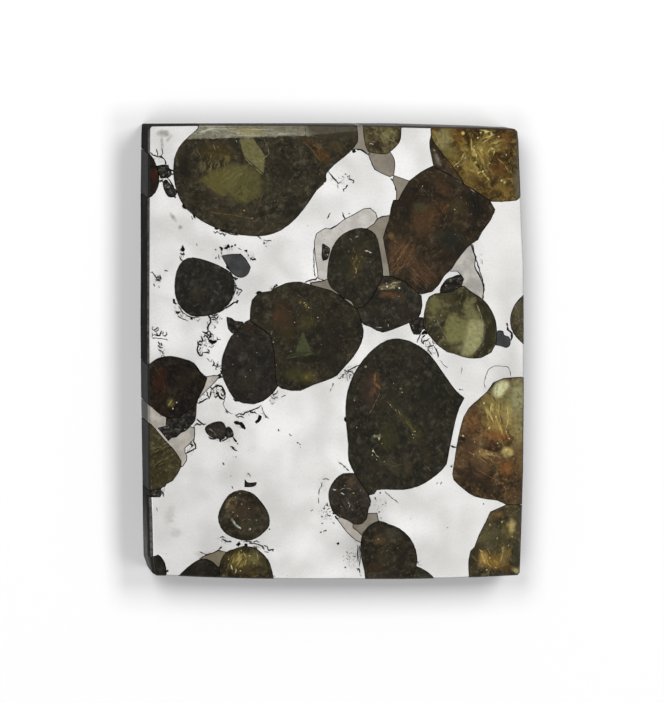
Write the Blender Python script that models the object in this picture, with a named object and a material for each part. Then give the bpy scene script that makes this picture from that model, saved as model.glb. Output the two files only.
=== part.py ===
"""Pallasite slice: a cut and polished plate of nickel-iron with olivine crystals grown right through it.

The slab lies flat on z = 0 with its polished face up. x runs to the right and y away from the
viewer across that face, z is the thickness. Outlines are in millimetres, as seen on the
polished face. Each is a ring of points joined by a smooth curve; a third value of 1 marks a corner.
"""
import bpy
import bmesh
from math import ceil, hypot
from mathutils import Vector

for old in list(bpy.data.objects):
    bpy.data.objects.remove(old)

# Driving dimensions, in millimetres
THICK = 6.0           # thickness of the slab
EDGE_DROP = 0.2       # height of the ground-off edge round both faces
GAP = 0.1             # open seam between a grain and whatever surrounds it
OVER = 0.5            # how far a grain's blank stands past both faces before it is cut flush
PIT_DEPTH = 1.5       # depth of the black oxide pits, which do not go through
SPACING = 1.25        # longest facet on a curved outline
FACETS = 26           # a small outline still gets about this many facets
SMALLEST = 0.35       # a loose splinter of metal below this volume, in cubic mm, is left out
OUT_OF_SQUARE = 0.0256  # the slab is cut 1.5 degrees out of square: y drops by this share of x
MM = 0.001

# Edge of the polished face: x, y, the width of the ground-off edge there, and how far the back
# stays inside the front, because the two walls that show were sawn a little out of square
SLAB = [
    (-24.90, 29.25, 0.28, 0.36), (-24.66, 29.46, 0.24, 0.36), (-18.00, 29.58, 0.20, 0.38),
    (-5.00, 29.60, 0.20, 0.32), (8.30, 29.47, 0.20, 0.14), (19.00, 29.31, 0.20, 0.22),
    (22.60, 29.22, 0.20, 0.30), (23.62, 29.16, 0.20, 0.24), (23.86, 28.92, 0.20, 0.12),
    (23.98, 27.90, 0.20), (24.43, 17.40, 0.20), (24.71, 11.90, 0.20), (24.76, 3.00, 0.20),
    (24.78, -6.20, 0.20), (24.71, -15.40, 0.20), (24.52, -21.90, 0.20), (24.35, -27.20, 0.20),
    (24.28, -28.92, 0.20), (24.08, -29.14, 0.20), (19.00, -29.40, 0.16), (15.00, -29.54, 0.16),
    (8.30, -29.61, 0.16), (-5.00, -29.56, 0.16), (-11.70, -29.46, 0.16), (-18.30, -29.23, 0.16),
    (-21.70, -29.06, 0.16), (-24.05, -28.98, 0.20, 0.30), (-24.40, -28.70, 0.30, 0.50),
    (-24.54, -27.20, 0.45, 0.30), (-24.66, -21.90, 0.45, 0.32), (-24.88, -16.70, 0.34, 0.40),
    (-25.02, -6.20, 0.28, 0.32), (-25.07, 3.00, 0.28, 0.30), (-25.02, 12.00, 0.28, 0.30),
    (-24.98, 20.00, 0.28, 0.26), (-24.93, 27.80, 0.28, 0.32),
]

# How far each cluster of touching grains wanders between the polished face and the back
CENTRE = (0.35, -0.30)
LOWER = (-0.30, 0.35)
LEFT = (0.30, 0.15)
RIGHT = (-0.35, -0.25)
ROUND = (-0.25, 0.20)
BOTTOM = (0.25, 0.30)

# Olivine crystals: name, wander, size on the back, colour, outline
OLIVINE = [
    ("olivine_big_top_left", CENTRE, 1.0, (0.055, 0.050, 0.036), [
        (-18.2, 30.4, 1), (-18.6, 29.2), (-19.8, 28.15), (-21.05, 26.8), (-21.7, 25.2), (-21.82, 23.7),
        (-21.6, 21.95), (-20.95, 20.1), (-19.95, 18.7), (-18.1, 17.3), (-16.0, 16.3), (-13.9, 15.65),
        (-11.8, 15.37), (-9.7, 15.4), (-7.6, 16.1), (-5.6, 17.7), (-4.0, 19.7), (-2.9, 21.3),
        (-2.2, 21.95), (-1.7, 22.6), (-1.65, 23.4), (-0.6, 24.6), (0.8, 25.7), (1.5, 26.3),
        (2.1, 26.95), (2.55, 27.6), (2.6, 28.2), (2.4, 30.4, 1)]),
    ("olivine_pair_right", CENTRE, 1.0, (0.050, 0.048, 0.034), [
        (-11.66, 4.2, 1), (-11.6, 5.8), (-11.4, 6.85), (-10.6, 7.75), (-9.95, 7.87), (-9.0, 8.0),
        (-8.2, 8.5), (-6.9, 9.05), (-5.1, 9.22), (-3.4, 8.75), (-0.9, 8.08), (0.2, 7.47), (1.4, 6.55),
        (2.6, 5.6), (3.05, 4.2), (3.35, 2.9), (3.05, 1.3), (2.05, -0.42), (0.75, -1.87), (-0.15, -2.9),
        (-1.6, -3.55), (-3.4, -4.17), (-5.05, -4.9), (-6.3, -4.88), (-7.5, -4.6), (-8.05, -4.2, 1),
        (-8.3, -3.1), (-8.35, -1.2), (-8.6, 0.8), (-8.95, 2.35, 1), (-10.2, 3.25)]),
    ("olivine_pair_left", CENTRE, 1.0, (0.040, 0.037, 0.030), [
        (-12.3, 4.0), (-13.2, 3.1), (-14.2, 2.1), (-14.95, 0.5), (-15.4, -0.9), (-15.42, -2.6),
        (-14.9, -4.1), (-13.9, -5.8), (-12.6, -6.53), (-11.2, -6.65), (-10.0, -6.25), (-8.7, -5.2),
        (-8.04, -4.3, 1), (-7.8, -3.0), (-7.9, -1.0), (-8.1, 1.0), (-8.4, 2.6), (-11.3, 4.5, 1)]),
    ("olivine_oval_middle", CENTRE, 1.0, (0.042, 0.039, 0.031), [
        (-1.37, 9.9), (-1.3, 11.2), (-0.95, 13.0), (-0.3, 14.45), (0.75, 15.5), (2.3, 16.18),
        (3.8, 16.2), (4.95, 15.43), (5.4, 14.05), (5.75, 12.08), (5.95, 10.1), (5.3, 8.8), (4.3, 7.0),
        (3.3, 6.1), (2.4, 5.85, 1), (1.9, 6.75), (1.4, 7.05), (0.7, 7.25), (-0.2, 8.05), (-0.9, 8.65)]),
    ("olivine_middle_lower", CENTRE, 1.0, (0.046, 0.041, 0.031), [
        (2.3, 5.7, 1), (3.2, 6.5), (4.3, 7.4), (5.2, 9.0), (6.0, 10.0), (7.0, 10.0), (9.0, 9.2),
        (10.2, 8.2), (11.1, 7.45, 1), (11.2, 6.2), (11.0, 5.2), (10.6, 4.5), (9.8, 4.1), (9.0, 3.8),
        (8.0, 3.4), (7.2, 3.1), (6.0, 2.75), (5.2, 3.0), (4.3, 3.5), (3.5, 3.75), (3.0, 4.4)]),
    ("olivine_red_brown", CENTRE, 1.0, (0.075, 0.042, 0.027), [
        (12.65, 24.42, 1), (11.2, 23.68), (9.6, 22.5, 1), (8.7, 21.1), (8.1, 19.95), (7.45, 19.95),
        (7.15, 19.0), (6.85, 17.3), (6.4, 16.1), (6.12, 15.1), (6.5, 13.0), (6.85, 11.2),
        (7.05, 9.8, 1), (9.0, 8.9), (10.2, 8.1), (11.2, 7.75), (12.6, 8.1), (13.5, 9.05),
        (14.2, 10.2), (15.2, 11.1), (15.9, 12.2), (17.2, 13.8), (17.9, 14.4), (18.7, 14.9),
        (19.2, 15.9), (20.4, 17.5), (20.95, 18.8), (20.6, 19.4), (20.25, 20.0, 1), (18.5, 21.1),
        (16.8, 22.1), (14.8, 23.35)]),
    ("olivine_gold_top_right", CENTRE, 1.0, (0.230, 0.160, 0.055), [
        (12.52, 30.4, 1), (12.52, 28.3), (13.5, 26.75), (15.1, 24.8), (16.7, 22.65), (17.2, 21.4),
        (18.6, 20.4), (20.1, 19.98), (21.8, 19.93), (23.9, 20.1), (24.5, 20.6), (26.0, 20.9, 1),
        (26.0, 30.4, 1)]),
    ("olivine_sliver_top", CENTRE, 1.0, (0.050, 0.045, 0.036), [
        (12.45, 28.3, 1), (12.3, 27.6), (12.36, 26.8), (12.7, 25.2), (12.9, 24.2, 1), (15.4, 22.6),
        (17.0, 21.8, 1), (16.4, 23.4), (14.4, 26.0), (12.9, 28.0)]),
    ("olivine_top_middle", CENTRE, 1.0, (0.120, 0.100, 0.045), [
        (3.4, 30.4, 1), (3.5, 28.5), (3.8, 27.0), (4.1, 26.4), (5.4, 26.15), (6.4, 26.1), (7.2, 26.6),
        (7.9, 27.3), (8.3, 28.1), (8.43, 30.4, 1)]),
    ("olivine_green", CENTRE, 1.0, (0.140, 0.130, 0.070), [
        (13.0, 7.7), (12.25, 7.3), (11.9, 6.6), (11.6, 5.2), (11.5, 3.6), (11.8, 2.85), (12.6, 1.95),
        (13.5, 0.98), (14.6, 0.2), (15.8, -0.12), (17.4, -0.6), (19.2, -0.58), (20.5, 0.1),
        (21.15, 1.3), (21.2, 3.2), (20.9, 4.7), (20.0, 6.3), (18.9, 7.3), (17.7, 8.05), (16.9, 8.7),
        (16.3, 8.6), (15.4, 8.0), (14.2, 7.85)]),
    ("olivine_big_lower", LOWER, 1.0, (0.044, 0.040, 0.031), [
        (8.1, 1.8), (6.5, 1.55), (4.95, 0.57), (3.5, -0.88), (2.2, -2.8), (1.35, -5.1), (1.1, -7.2),
        (1.2, -9.5), (1.45, -12.0), (1.5, -14.1), (2.4, -15.95), (3.3, -17.3), (4.2, -18.6),
        (4.8, -18.5), (5.2, -17.95), (6.8, -17.88), (8.8, -17.92), (10.8, -17.45), (12.5, -16.5),
        (13.9, -15.35), (14.5, -14.6), (14.8, -13.0), (15.2, -11.1), (15.6, -9.2), (16.2, -7.2),
        (16.85, -5.95, 1), (15.6, -4.85), (13.9, -2.5), (12.3, -0.35), (10.8, 0.85), (9.5, 1.5)]),
    ("olivine_small_lower", LOWER, 1.0, (0.046, 0.039, 0.031), [
        (2.4, -15.9, 1), (0.75, -15.9), (-0.4, -16.75), (-1.1, -18.0), (-1.15, -19.2), (-0.7, -20.7),
        (0.1, -21.4), (1.4, -21.95), (2.2, -22.45), (3.2, -22.4), (3.8, -21.8), (4.0, -20.6),
        (4.35, -19.5), (3.95, -18.4), (4.3, -17.6), (3.3, -16.6)]),
    ("olivine_gold_right", RIGHT, 1.0, (0.240, 0.150, 0.060), [
        (26.0, -3.2, 1), (23.5, -3.3), (22.2, -3.42), (20.9, -3.95), (20.0, -5.2), (18.9, -6.15),
        (17.6, -7.3), (16.9, -8.5), (16.4, -10.3), (16.0, -12.2), (15.7, -14.2), (15.42, -16.0),
        (15.6, -16.7), (17.0, -17.95), (18.3, -18.8), (20.1, -19.2), (21.4, -19.35), (22.7, -19.95, 1),
        (26.0, -20.0, 1)]),
    ("olivine_gold_bottom_right", RIGHT, 1.0, (0.180, 0.140, 0.070), [
        (26.0, -19.6, 1), (22.8, -19.95, 1), (21.9, -20.4), (20.5, -21.0), (19.9, -22.3),
        (19.0, -24.0), (18.4, -25.6), (17.85, -26.15), (17.6, -27.4), (17.6, -28.5), (17.75, -30.4, 1),
        (26.0, -30.4, 1)]),
    ("olivine_bottom_middle", LOWER, 1.0, (0.048, 0.040, 0.031), [
        (5.5, -22.15), (4.1, -22.85), (3.4, -23.7), (3.12, -25.2), (3.2, -26.9), (3.6, -28.6),
        (3.85, -30.8, 1), (9.4, -30.8, 1), (10.4, -28.4), (10.55, -27.3), (10.35, -25.9), (9.6, -24.4),
        (8.2, -23.15), (6.8, -22.6)]),
    ("olivine_bottom_chip", LOWER, 1.0, (0.060, 0.062, 0.036), [
        (10.0, -27.95, 1), (11.3, -28.5), (12.3, -29.15), (13.0, -29.9), (13.2, -30.8, 1),
        (8.8, -30.8, 1)]),
    ("olivine_left_rim", LEFT, 1.0, (0.045, 0.038, 0.030), [
        (-26.5, 26.5, 1), (-24.95, 25.75), (-24.3, 24.65), (-23.9, 23.4), (-23.85, 22.3),
        (-24.1, 21.4), (-24.8, 20.45), (-26.5, 19.8, 1)]),
    ("olivine_round_left", ROUND, 1.0, (0.038, 0.036, 0.028), [
        (-19.3, 12.37), (-20.6, 11.95), (-21.4, 10.6), (-21.66, 8.7), (-21.45, 7.1), (-20.75, 5.85),
        (-19.5, 4.9), (-17.85, 4.87), (-16.3, 5.22), (-14.85, 6.3), (-13.95, 7.8), (-13.85, 9.3),
        (-14.2, 10.3), (-15.6, 11.2), (-17.4, 11.93)]),
    ("olivine_right_rim", RIGHT, 1.0, (0.090, 0.078, 0.045), [
        (26.5, 8.9, 1), (24.9, 7.55), (23.9, 6.5), (23.3, 5.2), (23.18, 3.9), (23.6, 2.6),
        (24.9, 1.2), (26.5, -0.1, 1)]),
    ("olivine_bead", BOTTOM, 0.92, (0.060, 0.050, 0.038), [
        (-13.2, -18.08), (-14.5, -18.65), (-15.45, -20.05), (-15.93, -21.5), (-15.6, -22.8),
        (-14.8, -23.7), (-13.5, -24.3), (-12.1, -24.55), (-10.9, -24.2), (-9.85, -23.4),
        (-9.25, -22.6), (-9.3, -21.3), (-10.0, -20.0), (-11.2, -18.65), (-12.2, -18.2)]),
    ("olivine_gold_bottom_left", BOTTOM, 1.0, (0.120, 0.095, 0.045), [
        (-12.6, -25.4), (-13.9, -25.8), (-14.9, -26.2), (-15.6, -27.3), (-15.8, -28.2),
        (-15.5, -30.6, 1), (-8.5, -30.6, 1), (-8.8, -29.0), (-9.4, -27.2), (-10.6, -26.0),
        (-11.6, -25.5)]),
    ("olivine_dark_bottom_left", BOTTOM, 1.0, (0.036, 0.032, 0.028), [
        (-22.9, -30.6, 1), (-21.1, -29.15), (-20.1, -28.2), (-18.7, -27.25), (-17.6, -27.05),
        (-16.8, -27.4), (-16.2, -28.0), (-15.4, -28.4), (-15.0, -30.6, 1)]),
    ("olivine_corner", LEFT, 1.0, (0.060, 0.055, 0.042), [
        (-26.5, -27.3, 1), (-24.5, -26.7), (-24.0, -26.5), (-23.4, -27.1), (-23.0, -28.2),
        (-22.95, -30.6, 1), (-26.5, -30.6, 1)]),
    ("olivine_round_left_rim", LEFT, 1.0, (0.040, 0.034, 0.026), [
        (-26.5, -2.7, 1), (-25.0, -1.5), (-23.9, -0.75), (-22.3, -0.5), (-20.5, -0.87),
        (-19.2, -1.4), (-18.4, -2.5), (-17.5, -3.3), (-17.85, -4.4), (-18.6, -5.8), (-19.1, -6.9),
        (-20.2, -7.7), (-21.4, -8.4), (-22.5, -8.5), (-23.5, -8.1), (-24.7, -7.1), (-26.5, -5.7, 1)]),
    ("olivine_wedge_left", LEFT, 1.0, (0.080, 0.070, 0.036), [
        (-26.5, -8.6, 1), (-24.9, -9.4), (-24.2, -10.2), (-23.0, -11.6), (-22.0, -12.6),
        (-21.3, -13.6), (-20.95, -14.2), (-20.97, -14.8), (-21.5, -15.9), (-22.1, -16.7),
        (-23.0, -17.15), (-23.6, -17.7), (-24.4, -17.85), (-26.5, -18.1, 1)]),
    ("olivine_small_left", LEFT, 0.8, (0.050, 0.044, 0.034), [
        (-17.0, -9.35), (-17.6, -9.75), (-17.55, -10.3), (-16.9, -10.95), (-16.0, -11.15),
        (-15.3, -11.2), (-15.0, -10.5), (-15.05, -9.7), (-15.5, -9.1), (-16.3, -9.1)]),
]

# Grains of troilite, an iron sulphide
TROILITE = [
    ("troilite_grain", ROUND, 1.0, (0.045, 0.050, 0.055), [
        (-15.4, 12.63, 1), (-14.3, 12.82), (-13.0, 12.87, 1), (-12.4, 12.3), (-11.72, 11.2, 1),
        (-12.0, 10.4), (-12.6, 9.95), (-13.3, 9.95), (-14.0, 10.4), (-14.6, 11.2)]),
    ("troilite_beside_green", CENTRE, 1.0, (0.040, 0.042, 0.044), [
        (20.8, 2.5, 1), (21.6, 2.8), (22.1, 2.75), (22.2, 2.3), (22.9, 2.0), (23.05, 1.5),
        (23.0, 1.05), (22.6, 0.75), (21.9, 0.95), (20.8, 1.15, 1)]),
]

# Bands of schreibersite, an iron-nickel phosphide, along the edges of the crystals
SCHREIBERSITE = [
    ("schreibersite_top_strip", CENTRE, 1.0, (0.300, 0.272, 0.245), [
        (2.1, 30.4, 1), (2.2, 28.4), (2.2, 27.6), (1.6, 26.95), (1.7, 26.6, 1), (2.6, 26.7),
        (3.3, 26.6), (4.05, 25.95, 1), (4.3, 26.6), (3.8, 28.5), (3.6, 30.4, 1)]),
    ("schreibersite_top_patch", CENTRE, 1.0, (0.270, 0.250, 0.225), [
        (4.05, 26.7, 1), (4.1, 25.95, 1), (4.5, 24.97), (4.95, 24.1), (5.4, 23.8), (6.1, 23.45),
        (6.9, 23.12, 1), (7.4, 23.3, 1), (7.55, 24.6), (7.4, 25.5), (6.95, 26.2, 1), (6.7, 26.8, 1)]),
    ("schreibersite_triangle", CENTRE, 1.0, (0.270, 0.250, 0.225), [
        (7.5, 23.15, 1), (9.45, 22.5, 1), (9.9, 22.2, 1), (8.9, 20.6), (8.05, 19.75, 1),
        (7.8, 19.95, 1), (7.85, 21.3), (7.4, 22.5)]),
    ("schreibersite_arch", CENTRE, 1.0, (0.640, 0.620, 0.590), [
        (-1.0, 9.9, 1), (-1.8, 9.55), (-2.6, 9.75), (-2.7, 10.9), (-2.95, 12.4), (-3.1, 14.6),
        (-2.8, 15.6), (-1.7, 16.25), (-0.9, 16.15), (-0.3, 16.5), (0.75, 17.35), (2.3, 18.15),
        (3.4, 18.8), (4.3, 18.9), (5.0, 18.3), (5.2, 17.6), (4.8, 16.95), (3.9, 16.35, 1),
        (3.0, 15.8), (1.5, 15.3), (0.3, 14.3), (-0.4, 13.0), (-0.8, 11.6)]),
    ("schreibersite_long_strip", CENTRE, 1.0, (0.320, 0.300, 0.265), [
        (4.0, 16.25, 1), (4.9, 17.0), (5.4, 17.55), (6.0, 17.8), (7.1, 17.95, 1), (7.1, 17.0),
        (6.7, 15.2), (7.0, 13.0), (7.3, 10.6), (7.1, 9.95, 1), (5.8, 9.95, 1), (5.4, 12.0),
        (5.0, 14.0), (4.5, 15.3)]),
    ("schreibersite_sliver", CENTRE, 1.0, (0.330, 0.290, 0.270), [
        (-3.5, 9.15, 1), (-2.0, 9.35), (-1.4, 9.65, 1), (-0.9, 9.4), (-0.2, 8.4), (0.4, 7.6, 1),
        (-0.4, 7.6), (-2.0, 8.1), (-3.4, 8.5)]),
    ("schreibersite_sliver_end", CENTRE, 1.0, (0.330, 0.290, 0.270), [
        (0.5, 7.45, 1), (1.4, 7.2), (2.2, 6.6), (2.5, 5.7, 1), (1.6, 6.2), (0.6, 6.9)]),
    ("schreibersite_right", CENTRE, 1.0, (0.600, 0.580, 0.550), [
        (17.7, 14.3, 1), (18.05, 13.3), (18.35, 12.5), (18.25, 11.3), (18.75, 10.3), (19.3, 9.2),
        (19.45, 8.4), (19.3, 6.9, 1), (18.6, 7.2), (17.3, 7.9), (16.6, 8.9), (16.9, 9.7), (16.5, 10.3),
        (15.9, 10.8), (15.1, 10.75, 1), (15.2, 11.9), (16.3, 13.3)]),
    ("schreibersite_left", LEFT, 1.0, (0.420, 0.390, 0.350), [
        (-26.5, -5.9, 1), (-24.7, -7.0), (-22.9, -8.4, 1), (-22.95, -9.55, 1), (-24.05, -9.8, 1),
        (-22.6, -11.55, 1), (-22.15, -11.15), (-21.5, -11.05), (-20.9, -10.5), (-20.3, -10.25),
        (-19.7, -9.7), (-19.15, -9.9), (-19.2, -11.2), (-19.9, -11.95), (-20.45, -12.4),
        (-20.45, -13.0), (-20.2, -13.5), (-20.25, -14.1), (-20.7, -14.75, 1), (-21.2, -14.9),
        (-21.6, -14.0), (-22.4, -13.0), (-23.4, -11.9), (-24.4, -10.6), (-26.5, -9.0, 1)]),
    ("schreibersite_bottom_left", BOTTOM, 1.0, (0.250, 0.220, 0.190), [
        (-18.3, -26.95, 1), (-17.4, -26.5), (-16.6, -26.25), (-15.9, -25.95, 1), (-14.8, -26.2, 1),
        (-15.2, -27.2), (-15.5, -28.4, 1), (-16.3, -28.3), (-16.9, -27.7), (-17.7, -27.3)]),
    ("schreibersite_lower", LOWER, 1.0, (0.270, 0.240, 0.215), [
        (3.8, -21.15, 1), (5.2, -21.12, 1), (5.3, -21.7), (5.5, -22.4, 1), (4.4, -23.1), (3.6, -23.9),
        (3.25, -24.0, 1), (2.7, -23.4), (2.05, -22.95, 1), (2.2, -22.2), (3.2, -22.0)]),
    ("schreibersite_lower_pale", LOWER, 1.0, (0.470, 0.430, 0.390), [
        (-0.05, -21.8, 1), (0.8, -21.5), (1.5, -21.8), (2.05, -22.6), (2.8, -23.5), (3.45, -24.1, 1),
        (3.3, -24.95, 1), (2.5, -24.6), (1.7, -23.95), (0.9, -23.1)]),
    ("schreibersite_left_sliver", LEFT, 1.0, (0.480, 0.450, 0.410), [
        (-17.5, -3.15, 1), (-16.6, -3.05), (-15.85, -3.05, 1), (-16.4, -3.75), (-17.1, -4.45),
        (-17.8, -5.1), (-18.6, -5.9, 1), (-18.1, -4.4)]),
]

# Shallow pits filled with black iron oxide
OXIDE = [
    ("oxide_porous_left", LEFT, 0.96, (0.020, 0.018, 0.015), [
        (-24.0, -9.85, 1), (-22.6, -11.5, 1), (-22.1, -11.1), (-21.4, -11.0), (-20.9, -10.45),
        (-20.2, -10.15), (-19.7, -9.5), (-19.1, -8.8), (-18.95, -7.6), (-18.9, -6.6, 1),
        (-20.0, -7.3), (-21.4, -8.1), (-22.5, -8.2), (-22.9, -8.3, 1), (-22.9, -9.6, 1)]),
    ("oxide_chip_top_left", CENTRE, 0.85, (0.010, 0.009, 0.008), [
        (-24.0, 24.3, 1), (-23.2, 24.45), (-22.6, 24.4, 1), (-22.45, 23.9), (-22.2, 23.5),
        (-22.5, 22.95), (-23.5, 22.8, 1), (-23.75, 23.4)]),
    ("oxide_drop_top_left", CENTRE, 0.85, (0.010, 0.009, 0.008), [
        (-23.2, 22.1), (-22.85, 22.5), (-22.4, 22.0), (-21.6, 21.2), (-21.5, 20.8), (-21.9, 20.4),
        (-22.5, 20.45), (-22.95, 21.1)]),
    ("oxide_chip_middle_left", CENTRE, 0.9, (0.014, 0.013, 0.012), [
        (-14.75, 4.6, 1), (-14.2, 4.45), (-13.7, 4.1), (-12.7, 3.95), (-12.9, 3.4), (-13.9, 2.6),
        (-14.55, 3.15, 1), (-14.7, 3.9)]),
    ("oxide_patch_in_arch", CENTRE, 0.85, (0.010, 0.009, 0.008), [
        (-2.0, 14.2), (-1.6, 13.95), (-1.15, 13.6), (-1.25, 12.8), (-1.45, 12.3), (-1.95, 12.15, 1),
        (-2.1, 12.7), (-2.05, 13.5)]),
    ("oxide_middle_right", CENTRE, 0.95, (0.030, 0.032, 0.030), [
        (9.6, 3.95, 1), (10.2, 4.5), (10.8, 4.6), (11.7, 4.4), (11.7, 3.4), (11.2, 3.0), (10.9, 2.5),
        (10.2, 2.5, 1), (9.9, 3.0)]),
    ("oxide_above_green", CENTRE, 0.95, (0.020, 0.019, 0.018), [
        (14.0, 8.9, 1), (14.6, 9.6), (15.4, 9.9), (16.0, 10.15), (16.6, 10.1), (17.0, 9.5),
        (16.8, 8.9), (16.2, 8.0), (15.2, 7.6), (13.9, 7.6), (13.75, 8.4)]),
    ("oxide_bar", BOTTOM, 0.85, (0.010, 0.009, 0.008), [
        (-12.4, -16.75, 1), (-12.1, -17.05), (-11.5, -17.1), (-10.95, -17.05), (-11.1, -17.35),
        (-11.6, -17.5), (-12.4, -17.5, 1)]),
    ("oxide_pit_left_rim", LEFT, 0.95, (0.014, 0.012, 0.010), [
        (-26.5, -17.6, 1), (-24.6, -17.6), (-23.8, -17.6), (-23.6, -18.4), (-23.75, -18.8, 1),
        (-24.5, -18.8), (-26.5, -18.7, 1)]),
    ("oxide_small_left", LEFT, 0.9, (0.018, 0.016, 0.014), [
        (-14.9, -10.0), (-14.6, -9.75), (-14.2, -10.1), (-14.0, -10.8), (-14.3, -11.0),
        (-14.9, -10.95)]),
]

METAL = (0.83, 0.82, 0.80)


def on_slab(point):
    """Where a point of an outline lies on the slab, which is a little out of square."""
    return Vector((point[0], point[1] - OUT_OF_SQUARE * point[0]))


def smooth_ring(points):
    """Joins an outline's points by a curve that bends at every point but its corners."""
    count = len(points)
    place = [on_slab(p) for p in points]
    sharp = [len(p) > 2 for p in points]
    around = sum((place[i] - place[i - 1]).length for i in range(count))
    facet = min(SPACING, around / FACETS)
    ring = []
    for i in range(count):
        a, b = place[i], place[(i + 1) % count]
        before = a - (b - a) if sharp[i] else place[i - 1]
        after = b + (b - a) if sharp[(i + 1) % count] else place[(i + 2) % count]
        straight = sharp[i] and sharp[(i + 1) % count]
        parts = 1 if straight else max(1, ceil((b - a).length / facet - 0.25))
        for k in range(parts):
            t = k / parts
            ring.append(0.5 * (2 * a + (b - before) * t + (2 * before - 5 * a + 4 * b - after) * t ** 2
                               + (3 * a - before - 3 * b + after) * t ** 3))
    return ring


def widened(ring, widths):
    """Moves every side of a ring outward by its width."""
    area = sum(ring[i - 1].cross(ring[i]) for i in range(len(ring)))
    turn = 1 if area > 0 else -1
    result = []
    for i, p in enumerate(ring):
        first = (p - ring[i - 1]).normalized()
        second = (ring[(i + 1) % len(ring)] - p).normalized()
        middle = Vector((first.y + second.y, -first.x - second.x)) * turn
        reach = min(2.0, 2 / max(middle.length, 0.4))
        result.append(p + middle.normalized() * widths[i] * reach)
    return result


def solid(name, rings, twisted=False):
    """A closed body through rings of points, each given with its height; twisted sides are split."""
    mesh = bmesh.new()
    levels = []
    for ring, height in rings:
        levels.append([mesh.verts.new(((p.x - middle.x) * MM, (p.y - middle.y) * MM, height * MM))
                       for p in ring])
    for low, high in zip(levels, levels[1:]):
        for i in range(len(low)):
            mesh.faces.new((low[i - 1], low[i], high[i], high[i - 1]))
    mesh.faces.new(list(reversed(levels[0])))
    mesh.faces.new(levels[-1])
    if twisted:
        bmesh.ops.triangulate(mesh, faces=[f for f in mesh.faces if len(f.verts) == 4])
    bmesh.ops.recalc_face_normals(mesh, faces=mesh.faces)
    data = bpy.data.meshes.new(name)
    mesh.to_mesh(data)
    mesh.free()
    body = bpy.data.objects.new(name, data)
    bpy.context.collection.objects.link(body)
    return body


def grain(name, row, extra):
    """The blank of one grain, wandering and shrinking towards the back of the slab."""
    wander, size, outline = Vector(row[1]), row[2], smooth_ring(row[4])
    pit = name.startswith("oxide")
    deep = PIT_DEPTH if pit else THICK
    low = THICK - PIT_DEPTH - extra if pit else -OVER
    ring = widened(outline, [extra] * len(outline))
    heart = sum(ring, Vector((0, 0))) / len(ring)
    shift = wander * (0.25 if pit else 1.0)
    levels = []
    for height in (low, THICK + OVER):
        share = (THICK - height) / deep
        levels.append(([heart + (p - heart) * (1 + (size - 1) * share) + shift * share
                        for p in ring], height))
    return solid(name, levels)


def combine(body, tool, how, overlapping=False):
    """Cuts one body with another and leaves the result in the first."""
    cut = body.modifiers.new("cut", "BOOLEAN")
    cut.operation = how
    cut.solver = "EXACT"
    cut.use_self = overlapping
    cut.object = tool
    with bpy.context.temp_override(object=body, active_object=body, selected_objects=[body]):
        bpy.ops.object.modifier_apply(modifier=cut.name)


def box(body):
    """Smallest and largest x and y of a body."""
    xs = [v.co.x for v in body.data.vertices]
    ys = [v.co.y for v in body.data.vertices]
    return min(xs), max(xs), min(ys), max(ys)


def near(one, other):
    """Whether the boxes of two bodies meet."""
    a, b = box(one), box(other)
    return a[0] < b[1] and b[0] < a[1] and a[2] < b[3] and b[2] < a[3]


def volume(body):
    """Volume of a body in cubic millimetres."""
    mesh = bmesh.new()
    mesh.from_mesh(body.data)
    amount = mesh.calc_volume() / MM ** 3
    mesh.free()
    return amount


def loose_parts(body):
    """Takes a body apart into its unconnected pieces, the biggest first."""
    bpy.ops.object.select_all(action="DESELECT")
    body.select_set(True)
    bpy.context.view_layer.objects.active = body
    bpy.ops.mesh.separate(type="LOOSE")
    return sorted(bpy.context.selected_objects, key=volume, reverse=True)


def tidy(body):
    """Joins points that a cut left on one spot and joins faces that lie in one plane."""
    mesh = bmesh.new()
    mesh.from_mesh(body.data)
    bmesh.ops.remove_doubles(mesh, verts=mesh.verts, dist=0.002 * MM)
    bmesh.ops.dissolve_degenerate(mesh, edges=mesh.edges, dist=0.002 * MM)
    bmesh.ops.triangulate(mesh, faces=mesh.faces)
    mesh.to_mesh(body.data)
    mesh.free()


def finish(body, colour, rough, metallic):
    """Gives a body its material and smooth shading on its rounded sides."""
    paint = bpy.data.materials.new(body.name)
    paint.use_nodes = True
    shader = paint.node_tree.nodes["Principled BSDF"]
    shader.inputs["Base Color"].default_value = (*colour, 1.0)
    shader.inputs["Roughness"].default_value = rough
    shader.inputs["Metallic"].default_value = metallic
    body.data.materials.clear()
    body.data.materials.append(paint)
    body.data.shade_smooth()
    body.data.set_sharp_from_angle(angle=0.7)


# The slab, with its ground-off edges
face = [on_slab(p) for p in SLAB]
edge = widened(face, [p[2] for p in SLAB])
worn = [-p[3] if len(p) > 3 else 0.0 for p in SLAB]
middle = Vector((0.5 * (min(p.x for p in edge) + max(p.x for p in edge)),
                 0.5 * (min(p.y for p in edge) + max(p.y for p in edge))))
slab = solid("slab", [(widened(face, worn), 0), (widened(edge, worn), EDGE_DROP),
                      (edge, THICK - EDGE_DROP), (face, THICK)], twisted=True)

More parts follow.
